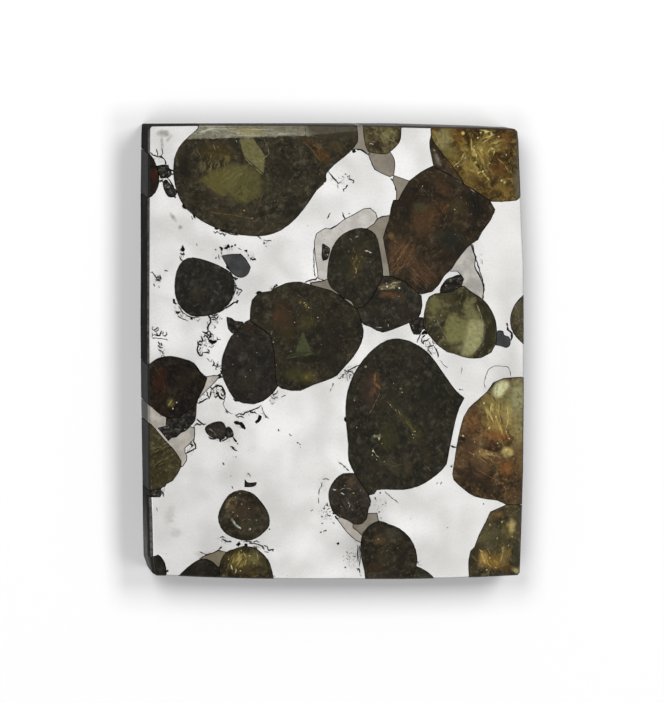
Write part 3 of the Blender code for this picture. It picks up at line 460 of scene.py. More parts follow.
    (0.12, 11.05, 2.5, 10.85, 2.0, 10.65, 1.7, 10.6, 1.3), (0.30, 11.2, 2.4, 11.6, 2.75, 11.9, 2.5),
    (0.20, 11.3, 2.0, 11.7, 2.3), (0.12, 11.1, 1.6, 11.5, 1.1, 11.4, 1.5, 11.9, 1.6, 12.2, 1.9),
    (0.12, 12.2, 1.5, 12.4, 1.1, 12.1, 0.8, 12.5, 0.9, 12.9, 1.0),
    (0.12, 12.6, 1.6, 12.8, 1.2, 13.1, 1.3), (0.12, 12.0, 0.6, 12.3, 0.2, 12.6, -0.3),
    (0.11, 12.9, 0.9, 13.1, 0.4, 13.3, 0.2, 13.4, -0.4), (0.14, 13.35, 0.1, 13.45, -0.6),
    (0.10, 11.2, 2.0, 11.3, 1.4), (0.10, 13.0, 1.6, 13.3, 1.0), (0.09, 12.1, 0.4, 11.9, 0.1),
    (0.08, 13.6, -0.9, 14.2, -1.6, 14.8, -2.0), (0.08, 16.6, -1.9, 16.6, -2.4, 16.5, -2.8),
    (0.12, 16.25, -4.7, 16.4, -4.9), (0.08, 16.5, -4.8, 16.8, -4.9),
    (0.20, 22.7, 3.5, 22.75, 3.1, 23.1, 2.8, 23.35, 2.5, 23.3, 2.0, 23.2, 1.6),
    (0.14, 22.65, 3.9, 22.7, 3.5), (0.20, 21.35, 2.9, 21.7, 2.8, 22.1, 2.85),
    (0.12, 0.8, -2.2, 1.2, -2.5, 1.6, -2.2, 1.9, -2.05, 2.5, -1.75, 2.9, -1.65),
    (0.11, 0.9, -2.4, 1.1, -2.8, 1.4, -2.5, 1.7, -2.4, 1.9, -2.65),
    (0.10, 1.2, -2.9, 1.2, -3.4, 1.4, -3.75),
    (0.13, -0.05, -3.3, 0.3, -3.4, 0.5, -3.1, 0.7, -3.3, 0.7, -2.9, 0.95, -2.75),
    (0.09, 1.6, -2.9, 1.6, -3.4), (0.09, 1.9, -2.3, 2.1, -2.8, 2.0, -3.1),
    (0.09, -0.6, -4.0, -0.7, -4.4), (0.08, -0.95, -4.7, -1.0, -5.0),
    # lower middle
    (0.09, 0.05, -14.3, 0.6, -14.7, 1.1, -15.1), (0.13, 1.1, -15.1, 1.5, -15.5),
    (0.08, -2.1, -16.9, -2.2, -17.5, -2.5, -18.0, -2.6, -18.7), (0.10, -2.65, -19.0, -2.55, -19.8),
    (0.08, -2.2, -16.6, -1.6, -16.5, -1.1, -16.7), (0.12, -1.45, -19.7, -1.3, -20.2),
    (0.14, -2.0, -20.35, -1.75, -20.55),
    (0.10, -1.45, -21.0, -1.5, -21.2, -1.3, -21.4, -1.05, -21.5), (0.12, -2.2, -21.4, -2.1, -21.6),
    (0.16, -1.15, -21.3, -1.05, -21.4), (0.10, -3.6, -20.8, -3.35, -20.6),
    (0.12, -0.7, -22.3, -0.4, -22.4), (0.09, -2.15, -22.4, -1.95, -22.45),
    (0.13, -2.4, -23.6, -2.2, -23.55), (0.10, -1.9, -23.4, -1.5, -23.3),
    (0.22, 0.0, -24.95, 0.1, -25.2), (0.20, 0.72, -27.25, 0.8, -27.3),
    (0.16, 0.95, -28.15, 1.05, -28.3), (0.08, 0.7, -26.7, 0.8, -26.75),
    (0.08, 1.1, -26.1, 1.3, -26.4), (0.32, -0.65, -20.9, -0.35, -21.2),
    (0.20, -0.4, -21.4, -0.1, -21.75, 0.3, -21.8), (0.14, -0.3, -21.2, 0.2, -21.5),
    (0.09, 2.0, -26.7, 2.4, -26.8), (0.08, 1.3, -26.6, 1.7, -27.1),
    (0.12, 2.65, -25.2, 2.7, -26.0, 2.65, -26.8, 2.75, -27.4),
    (0.10, 2.9, -25.3, 2.95, -26.9, 2.9, -28.2), (0.10, 2.45, -28.3, 2.9, -28.5, 3.0, -29.0),
    (0.10, 2.6, -28.6, 2.9, -28.3), (0.10, 3.0, -29.1, 3.1, -29.4),
    (0.16, 5.6, -18.35, 5.75, -18.45), (0.12, 5.0, -19.0, 5.1, -19.3),
    (0.16, 5.45, -20.85, 5.6, -20.95), (0.12, 6.35, -19.7, 6.45, -19.8),
    (0.08, 5.9, -20.0, 6.1, -19.95), (0.09, 5.6, -21.7, 5.9, -21.75),
    (0.07, 6.2, -18.2, 7.0, -18.9, 8.2, -19.8), (0.10, 4.4, -19.6, 4.3, -20.2),
    (0.14, 4.0, -18.35, 4.3, -18.6), (0.16, 15.05, -12.25, 15.5, -12.4, 15.9, -12.45),
    (0.18, 13.28, -17.15, 13.35, -17.2), (0.10, 13.75, -17.3, 13.8, -17.1, 13.9, -16.95),
    (0.11, 19.5, -19.8, 19.6, -20.0), (0.10, 9.7, -21.8, 9.8, -21.85),
    (0.07, 14.6, -23.0, 14.8, -23.1), (0.12, 10.5, -27.4, 10.8, -27.6),
    (0.10, 15.1, -14.9, 15.25, -15.0),
    (0.07, 19.75, -4.7, 19.6, -3.9, 19.8, -3.0, 20.2, -2.2, 20.9, -1.75, 21.8, -1.7, 22.8, -1.85,
     23.15, -2.5, 23.2, -3.1),
    # the bold black borders of the arch, of the taupe patch on the right and of the dark sliver
    (0.10, -3.08, 9.9, -3.22, 11.6, -3.22, 13.4, -3.0, 15.0, -2.2, 15.85, -0.9, 16.25, 0.7, 17.2,
     2.8, 18.5, 4.3, 18.98),
    (0.12, 18.0, 14.3, 18.2, 13.0, 18.58, 12.0, 19.05, 10.6, 19.4, 9.35, 19.45, 8.2, 19.3, 7.4),
    (0.10, 10.9, 29.1, 11.9, 28.7, 12.45, 27.6, 12.55, 26.4, 12.7, 25.0),
]
CHIPS = [
    [(-20.65, 14.15), (-20.5, 13.8), (-20.33, 13.5), (-20.5, 13.2), (-20.8, 13.22), (-20.98, 13.5),
     (-20.8, 13.75)],
    [(-22.0, 7.1), (-21.7, 7.0), (-21.65, 6.6), (-21.35, 6.35), (-21.6, 6.3), (-21.95, 6.5)],
    [(-17.4, 2.0), (-17.1, 1.75), (-16.6, 1.6), (-16.2, 1.7), (-16.1, 1.45), (-16.4, 1.2), (-16.8,
     1.1), (-17.2, 1.4)],
    [(-10.5, -8.1), (-10.15, -8.3), (-10.22, -8.7), (-10.55, -9.1), (-10.95, -9.3), (-11.1, -9.0),
     (-10.75, -8.7), (-10.65, -8.4)],
    [(0.85, -8.45), (1.2, -8.35), (1.3, -9.2), (1.05, -9.15), (0.8, -8.8)],
]
print(len(CRACKS), "cracks and", len(CHIPS), "chips")


# %% Draw them as curves
PROUD = 0.012              # how far a crack's middle line lies above the face, in mm


def new_object(name, data):
    """An object with this data, in the scene."""
    made = bpy.data.objects.new(name, data)
    bpy.context.scene.collection.objects.link(made)
    return made


def crack_curve(rows, step=0.3, waver=0.045, seed=5):
    """One curve object through all cracks: each wavers, swells and ends in a point."""
    chance = random.Random(seed)
    drawn = bpy.data.curves.new("cracks", "CURVE")
    drawn.dimensions = "3D"
    drawn.bevel_depth = MM
    drawn.bevel_resolution = 0
    drawn.use_fill_caps = True
    for half, *numbers in rows:
        places = [Vector(numbers[i:i + 2]) for i in range(0, len(numbers), 2)]
        path = [places[0]]
        for a, b in zip(places, places[1:]):
            parts = max(1, round((b - a).length / step))
            path += [a.lerp(b, (k + 1) / parts) for k in range(parts)]
        line = drawn.splines.new("POLY")
        line.points.add(len(path) - 1)
        for i, (point, place) in enumerate(zip(line.points, path)):
            end = i in (0, len(path) - 1)
            sway = Vector((chance.uniform(-waver, waver), chance.uniform(-waver, waver)))
            swell = 0.35 if end and len(path) > 2 else chance.uniform(0.52, 1.0)
            point.co = (*on_slab(*(place + sway), FACE + PROUD), 1)
            point.radius = half * swell + PROUD
    return new_object("cracks", drawn)


def chip_curve(outlines, deep=0.3):
    """Flat outlines, given depth by the curve's own extrusion."""
    drawn = bpy.data.curves.new("chips", "CURVE")
    drawn.dimensions = "2D"
    drawn.fill_mode = "BOTH"
    drawn.extrude = deep * MM
    for outline in outlines:
        line = drawn.splines.new("POLY")
        line.points.add(len(outline) - 1)
        line.use_cyclic_u = True
        for point, place in zip(line.points, outline):
            point.co = (*on_slab(*place, 0), 1)
    made = new_object("chips", drawn)
    made.location.z = (FACE + 0.05) * MM
    return made


def only(*objects):
    """Selects these objects alone and makes the first one active."""
    bpy.ops.object.select_all(action="DESELECT")
    for each in objects:
        each.select_set(True)
    bpy.context.view_layer.objects.active = objects[0]


cuts = [crack_curve(CRACKS), chip_curve(CHIPS)]
only(*cuts)
bpy.ops.object.convert(target="MESH")
bpy.ops.object.join()
cutter = bpy.context.active_object
bpy.ops.object.transform_apply(location=True, rotation=True, scale=True)
print("the cutter has", len(cutter.data.polygons), "faces")

# %% Cut them out of a copy of the plate
plate_mesh = nodes["nickel_iron_plate"].data.copy()
plate = new_object("etched_nickel_iron", plate_mesh)
only(plate)
bpy.ops.object.mode_set(mode="EDIT")
bpy.ops.mesh.select_all(action="SELECT")
bpy.ops.mesh.remove_doubles(threshold=0.000001)
bpy.ops.object.mode_set(mode="OBJECT")
plate.data.materials.clear()
before = len(plate.data.polygons)
cut = plate.modifiers.new("cracks", "BOOLEAN")
cut.operation = "DIFFERENCE"
cut.solver = "EXACT"
cut.use_self = True
cut.object = cutter
bpy.ops.object.modifier_apply(modifier="cracks")
bpy.data.objects.remove(cutter)
bpy.ops.object.shade_flat()
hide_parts("nickel_iron_plate")
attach(plate, "root")
check = bmesh.new()
check.from_mesh(plate.data)
print("plate:", before, "->", len(plate.data.polygons), "faces, open edges:",
      sum(not e.is_manifold for e in check.edges),
      "volume", round(check.calc_volume() / MM ** 3, 1), "mm3")
check.free()

# %% [markdown]
# ## The walls of the slab
#
# The four walls were left as the saw cut them: dull, with faint marks along the cut, and dark grey,
# partly as painted shade. A narrow strip between wall and face is ground off and paler. Grains that
# reach the edge are cut by the same saw, so each finish below ends with this one rule, which goes
# by the height of a point.

# %% Saw-cut walls, for any finish
def sawn(paint, colour):
    """The face's colour, and the wall's grey below its edge; also how much of it is wall."""
    high, low = FACE - EDGE, EDGE
    wall = paint.z.ramp(high + 0.03, high - 0.03) * paint.z.ramp(low - 0.03, low + 0.03)
    marks = paint.node("Mapping", {"vector_type": "TEXTURE"}, paint.deep,
                       None, None, (5.0, 5.0, 0.55))
    marks = paint.noise(0.5, 5.0, marks.outputs[0], 0.6)
    blotch = paint.noise(2.4, 3.0)
    # the walls' dark grey is partly their dull saw-cut metal and partly painted shade
    grey = paint.mix(marks.ramp(0.3, 0.7), rgb(8, 8, 7), rgb(28, 27, 25))
    grey = paint.mix(blotch.ramp(0.5, 0.75) * 0.45, grey, rgb(52, 51, 48))
    lower_left = paint.y.ramp(-17.0, -26.0) * paint.x.ramp(-20.0, -24.0) * paint.z.ramp(5.0, 2.5)
    grey = paint.mix(lower_left * marks.ramp(0.35, 0.55) * 0.8, grey, rgb(120, 119, 116))
    top_right = paint.y.ramp(28.0, 29.0) * paint.x.ramp(-12.0, 22.0)
    grey = paint.mix(top_right * 0.85, grey, rgb(134, 132, 127))
    grey = paint.mix(paint.z.ramp(3.4, 5.6) * 0.55, grey, rgb(12, 12, 11))
    paint.wall = wall
    return paint.mix(wall, colour, grey)


# %% [markdown]
# ## Polished nickel-iron
#
# The metal is etched satin, so it mirrors only soft light. Its colour drifts a little in wide
# clouds and is finely grained, and painted shade darkens it towards the right and in a few wide
# patches. Grey crumbs of rust gather round the cracks, and there are a few stains. Inside the
# cracks and pockets, below the face, everything is black oxide.

# %% Grey crumbs round the cracks, and stains: place, half length, half width, turn, strength
CRUMBS = [
    (-23.7, 25.3, 1.5, 0.9, 0, 0.35), (-22.9, 23.3, 1.3, 1.0, 40, 0.45),
    (-15.1, 15.7, 1.7, 0.35, -10, 0.5), (-9.9, 14.7, 1.3, 0.5, -30, 0.4),
    (-20.8, 13.2, 0.45, 1.4, 0, 0.6), (-14.7, 13.7, 1.7, 0.7, 0, 0.5),
    (-11.6, 12.6, 1.1, 0.9, -50, 0.5), (-24.0, 9.6, 1.0, 1.2, 0, 0.55),
    (-21.0, 5.3, 1.7, 1.0, -45, 0.6), (-19.0, 4.4, 1.0, 0.4, 0, 0.5),
    (-16.5, 4.3, 1.5, 1.0, 20, 0.7), (-14.4, 6.6, 1.9, 0.7, 45, 0.5),
    (-13.4, 8.3, 0.9, 1.0, 0, 0.4), (-17.3, 1.7, 1.8, 1.5, 0, 0.75), (-18.3, 0.3, 0.7, 1.3, 0, 0.6),
    (-15.9, -2.0, 0.9, 1.5, 0, 0.5), (-16.1, -4.9, 1.7, 1.3, -30, 0.6),
    (-18.0, -5.6, 1.7, 0.9, 50, 0.6), (-24.1, 2.7, 1.1, 0.9, 0, 0.5),
    (-23.5, 0.5, 0.8, 1.3, 0, 0.5), (-12.4, -8.0, 2.6, 0.6, 15, 0.5),
    (-13.2, -9.4, 1.0, 0.6, -20, 0.4), (-8.6, -5.9, 1.0, 1.2, 0, 0.6),
    (-10.2, -8.2, 1.0, 1.1, 0, 0.4), (-19.6, -12.4, 1.1, 1.4, 0, 0.6),
    (-15.2, -11.3, 2.2, 0.6, 0, 0.4), (-14.0, -12.5, 0.8, 0.5, -30, 0.4),
    (-11.9, -16.0, 0.6, 0.45, -40, 0.5), (-11.4, -25.0, 3.0, 0.9, -12, 0.65),
    (-15.2, -24.5, 1.4, 0.5, -15, 0.55), (-23.4, -18.0, 0.5, 1.2, 0, 0.5),
    (-22.2, -22.2, 1.5, 2.6, -15, 0.22), (-17.4, -26.3, 1.6, 0.5, -15, 0.35),
    (0.4, 22.5, 2.8, 1.4, -10, 0.35), (-3.2, 9.3, 1.6, 0.6, 15, 0.5),
    (-8.6, 8.4, 1.0, 0.7, 20, 0.5), (1.5, -2.6, 1.9, 1.3, 20, 0.6), (-0.7, -4.4, 0.6, 0.8, 0, 0.3),
    (12.1, 1.2, 2.5, 1.5, -50, 0.6), (0.8, -14.9, 1.5, 0.5, -40, 0.35),
    (-2.0, -17.2, 1.2, 2.4, 20, 0.22), (-1.6, -20.9, 1.6, 2.0, 0, 0.5),
    (1.9, -26.9, 1.5, 2.2, 0, 0.5), (2.6, -24.5, 0.8, 1.4, 20, 0.4), (5.6, -19.9, 1.6, 1.9, 0, 0.4),
    (9.5, -18.5, 3.5, 0.8, -35, 0.14), (18.9, 12.5, 1.0, 3.0, 0, 0.25),
    (10.9, -27.6, 0.8, 1.0, 0, 0.3), (14.6, -19.0, 2.0, 2.0, 0, 0.1),
    (-10.0, 16.5, 4.0, 1.2, 20, 0.08), (15.2, -14.9, 0.5, 0.4, 0, 0.5),
]
STAINS = [
    (-23.2, 28.6, 1.2, 0.7, 0, 0.75), (-23.35, 27.2, 0.3, 1.3, 0, 0.6),
    (-22.4, 28.0, 0.3, 0.8, -35, 0.5), (-21.9, 17.7, 1.0, 0.4, -55, 0.7),
    (-20.95, 16.4, 0.42, 0.38, 0, 0.75), (-22.4, -21.0, 0.9, 1.8, -20, 0.3),
    (-21.6, -23.6, 1.0, 0.8, 0, 0.3), (-18.2, -26.6, 1.6, 0.5, -20, 0.25),
    (3.4, -22.6, 0.7, 1.5, 25, 0.25),
]
# wide soft patches of painted shade, where the face is less lit: place, half length, half width,
# turn, strength
PAINTED_SHADES = [(-20, -24, 16, 13, 20, 0.22), (3.5, -23, 5, 9, 0, 0.62), (9, -27, 16, 4, 0, 0.14),
          (-12, 12, 6, 5, -20, 0.08), (-14.5, -16, 2.0, 9, -5, 0.12), (22.6, 2, 2.5, 16, 0, 0.16)]


# %% The metal finish
POLISH = 0.00002           # height, in metres, of what the polish has left standing


def metal_finish():
    """Satin metal with its clouds, stains, rust crumbs and black cracks."""
    paint = Paint("polished_nickel_iron")
    cloud = paint.noise(6.0, 3.0).ramp(0.3, 0.7)
    colour = paint.mix(cloud, rgb(244, 243, 240), rgb(253, 252, 250))
    # painted shade: darker towards the right edge, then in the wide soft patches listed above
    colour = paint.mix(paint.x.ramp(6.0, 22.0) * 0.35, colour, rgb(214, 213, 210))
    for x, y, long, wide, turn, share in PAINTED_SHADES:
        shade = paint.patch(x, y, long, wide, turn, 0.95, None, share)
        colour = paint.mix(shade, colour, rgb(150, 149, 146))
    fine = paint.noise(0.3, 4.0, rough=0.65)
    colour = paint.mix(fine.ramp(0.45, 0.7) * 0.16, colour, rgb(170, 169, 165))
    near = paint.warped(0.8, 0.12)
    smear = paint.noise(0.5, 5.0, rough=0.7)
    for x, y, long, wide, turn, share in STAINS:
        mask = paint.patch(x, y, long, wide, turn, 0.7, near, share)
        mask = mask * (smear.ramp(0.3, 0.6) * 0.6 + 0.4)
        colour = paint.mix(mask, colour, rgb(146, 140, 124))
    crumb = paint.noise(0.17, 3.0, rough=0.6)
    band = paint.noise(0.55, 4.0, rough=0.7)
    rust = None
    for x, y, long, wide, turn, share in CRUMBS:
        mask = paint.patch(x, y, long, wide, turn, 0.8, near, share)
        rust = mask if rust is None else rust.math("MAXIMUM", mask)
    # the stronger the patch, the more of the noise shows as crumbs
    crumbs = (rust * 0.32 + band * 0.35 + crumb * 0.65 - 0.5).ramp(0.2, 0.3) * rust.ramp(0.02, 0.2)
    curl = (paint.noise(0.8, 2.5, near, 0.6) - 0.5).math("ABSOLUTE").ramp(0.030, 0.012)
    curl = curl * rust.ramp(0.12, 0.45) * band.ramp(0.44, 0.54)
    colour = paint.mix(crumbs * 0.75, colour, rgb(96, 93, 88))
    colour = paint.mix(curl * 0.9, colour, rgb(52, 49, 45))
    colour = paint.mix(rust * 0.22, colour, rgb(180, 177, 170))
    # below the face lie the cracks, black with oxide, and the ground strip round the edge: dull
    # grey on the left and at the top, and painted pale on the other two sides as a painted
    # reflection
    inside = paint.z.ramp(FACE - 0.016, FACE - 0.025) * paint.z.ramp(0.016, 0.025)
    left, top = paint.x.ramp(-24.3, -24.35), paint.y.ramp(29.0, 29.05)
    plain = paint.x.ramp(24.2, 24.25).math("MAXIMUM", paint.y.ramp(-28.9, -28.95))
    oxide = paint.mix(fine.ramp(0.4, 0.7), rgb(24, 23, 21), rgb(48, 45, 41))
    edge = paint.mix(smear.ramp(0.35, 0.65), rgb(50, 49, 47), rgb(96, 95, 92))
    edge = paint.mix(left, oxide, edge)
    edge = paint.mix(top, edge, rgb(44, 43, 40))
    colour = paint.mix(inside, colour, paint.mix(plain, edge, rgb(184, 184, 183)))
    colour = sawn(paint, colour)
    scratch = (paint.noise(0.16, 2.0, stretch=(1.0, 14.0), turn=0.3)
               + paint.noise(0.16, 2.0, stretch=(1.0, 14.0), turn=-0.9))
    paint.set(Base_Color=colour, Metallic=(1 - inside) * (1 - crumbs * 0.7),
              Roughness=0.33 + inside * 0.4 + (fine - 0.5) * 0.12 + cloud * 0.05,
              Normal=paint.bump(0.05, POLISH, scratch + fine * 0.6 - crumbs * 2),
              Specular_IOR_Level=0.04)
    return paint


def wear(paint, *names):
    """Gives these solids this finish and no other."""
    for name in names:
        nodes[name].data.materials.clear()
        nodes[name].data.materials.append(paint.material)


metal = metal_finish()
plate.data.materials.append(metal.material)
wear(metal, "nickel_iron_top_island")
print("the metal has", len(metal.tree.nodes), "nodes")

# %% [markdown]
# ## Olivine
#
# Gem olivine is clear green, but in a slice this thick most of it is so dark that only cracks,
# facets and rusted veins inside it show. A crystal is therefore part see-through, with the colour
# taken out of the light that crosses it, and part painted: two tones in clouds, then the marks
# that this crystal has, on the same chart as the cracks. A glow is a soft oval and streaks are one
# broken up along a direction; a facet has straight sides, and a haze is a facet with a wide soft
# border; lines follow a few places, and spots lie on each of theirs. The colours are given as they
# show on the finished slice: the rusted veins and dark zones are the crystal's own colour, while
# the pale and bright marks, and the sparkles mixed in last, are painted reflections of the light
# that cracks and facets inside catch.

# %% A crystal's finish
def seen(colour, through):
    """The base colour that shows as this screen colour, in a finish that is partly see-through."""
    return tuple(min(1.0, max(0.001, (v - 0.008) / (1.1 * (1 - through))))
                 for v in rgb(*colour)[:3]) + (1,)


def crystal(name, low, mid, marks, through=0.3, density=1300.0, tint=(0.50, 0.44, 0.24)):
    """Paints one crystal: two tones in clouds, then its own marks.

    A mark holds its kind and then, for a glow or streaks: place, half length, half width, turn,
    colour, share; for a facet or a haze: colour, share, corners; for a line or spots: width,
    colour, share, places.
    """
    paint = Paint(name)

    def look(shown):
        return seen(shown, through)

    def darker(part):
        return tuple(v * part for v in low)

    near, close = paint.warped(1.2, 0.30), paint.warped(0.35, 0.07)
    cloud = paint.noise(2.4, 7.0, rough=0.6)
    fine = paint.noise(0.5, 6.0, rough=0.7)
    spark = paint.noise(0.2, 2.0)
    mottle = fine.ramp(0.35, 0.6) * 0.55 + 0.45
    brighter = tuple(min(255, v * 1.6 + 8) for v in mid)
    brightest = tuple(min(255, v * 2.0 + 26) for v in mid)
    hair = paint.noise(0.11, 2.0, near, 0.5, (9.0, 1.0), 0.7).math(
        "MAXIMUM", paint.noise(0.11, 2.0, near, 0.5, (9.0, 1.0), 2.3))
    colour = paint.mix(cloud.ramp(0.38, 0.62), look(low), look(mid))
    drift = paint.noise(1.1, 5.0, near, 0.65)
    colour = paint.mix(drift.ramp(0.50, 0.36) * 0.5, colour, look(darker(0.75)))
    colour = paint.mix(drift.ramp(0.52, 0.70) * 0.55, colour, look(brighter))
    colour = paint.mix(fine.ramp(0.5, 0.72) * 0.45, colour, look(brighter))
    colour = paint.mix(hair.ramp(0.60, 0.70) * fine.ramp(0.40, 0.58) * 0.65, colour, look(brighter))
    # the rusted veins and dark zones among the marks are the crystal's own colour; the pale and
    # bright marks are painted reflections of light caught by cracks and facets inside
    for kind, *values in marks:
        if kind == "glow":
            x, y, long, wide, turn, hue, share = values
            mask = paint.patch(x, y, long, wide, turn, 0.8, near, share) * mottle
        elif kind == "streaks":
            x, y, long, wide, turn, hue, share = values
            grainy = paint.noise(0.32, 4.0, near, 0.6, (5.0, 1.0), radians(turn))
            mask = paint.patch(x, y, long, wide, turn, 0.8, near, share) * grainy.ramp(0.47, 0.62)
        elif kind in ("facet", "haze"):
            hue, share, *numbers = values
            corners = [tuple(numbers[i:i + 2]) for i in range(0, len(numbers), 2)]
            mask = paint.facet(corners, 0.25 if kind == "facet" else 0.9, close)
            mask = mask * (fine.ramp(0.35, 0.6) * 0.4 + 0.6) * share
            mask = mask * (1 - hair.ramp(0.58, 0.68) * 0.4)
        elif kind == "line":
            width, hue, share, *numbers = values
            mask = paint.stroke(width, numbers, close)
            mask = mask * (spark.ramp(0.3, 0.55) * 0.6 + 0.4) * share
        else:
            width, hue, share, *numbers = values
            mask = None
            for i in range(0, len(numbers), 2):
                dot = paint.stroke(width, numbers[i:i + 2], close, 0.8)
                mask = dot if mask is None else mask.math("MAXIMUM", dot)
            mask = mask * share
        colour = paint.mix(mask, colour, look(hue))
    crack = paint.noise(1.5, 3.0, paint.warped(2.0, 0.3)) - 0.5
    crack = crack.math("ABSOLUTE").ramp(0.010, 0.003)
    colour = paint.mix(crack * 0.35 * fine.ramp(0.4, 0.6), colour, look(darker(0.5)))
    # painted glints: fine sparkles of light caught by fractures inside the crystal
    sparks = spark.ramp(0.67, 0.74) * fine.ramp(0.50, 0.62) * 0.6
    colour = paint.mix(sparks, colour, look(brightest))
    ground = paint.z.ramp(FACE - 0.01, FACE - 0.04)
    colour = paint.mix(ground * 0.75, colour, look(darker(0.6)))
    paint.set(Base_Color=sawn(paint, colour), Roughness=0.10 + ground * 0.85,
              Normal=paint.bump(0.12, POLISH, fine + crack * -1),
              Transmission_Weight=through, IOR=1.65, Specular_IOR_Level=0.35)
    absorb = paint.node("VolumeAbsorption", {})
    absorb.inputs["Color"].default_value = (*tint, 1)
    absorb.inputs["Density"].default_value = density
    paint.tree.links.new(absorb.outputs[0], paint.tree.nodes["Material Output"].inputs["Volume"])
    wear(paint, name)
    print(name, "has", len(marks), "marks and", len(paint.tree.nodes), "nodes")


# %% [markdown]
# ### The dark crystals
#
# The biggest crystal, at the top left, reaches the slab's upper edge. A strip along that edge is
# ground dull and pale, and the rest shows facets and bright fractures in a dark body; their pale
# and olive patches are painted reflections of the light they catch inside. Marks are mixed in the
# order of the list, each over those before it, so the ground strip comes last.

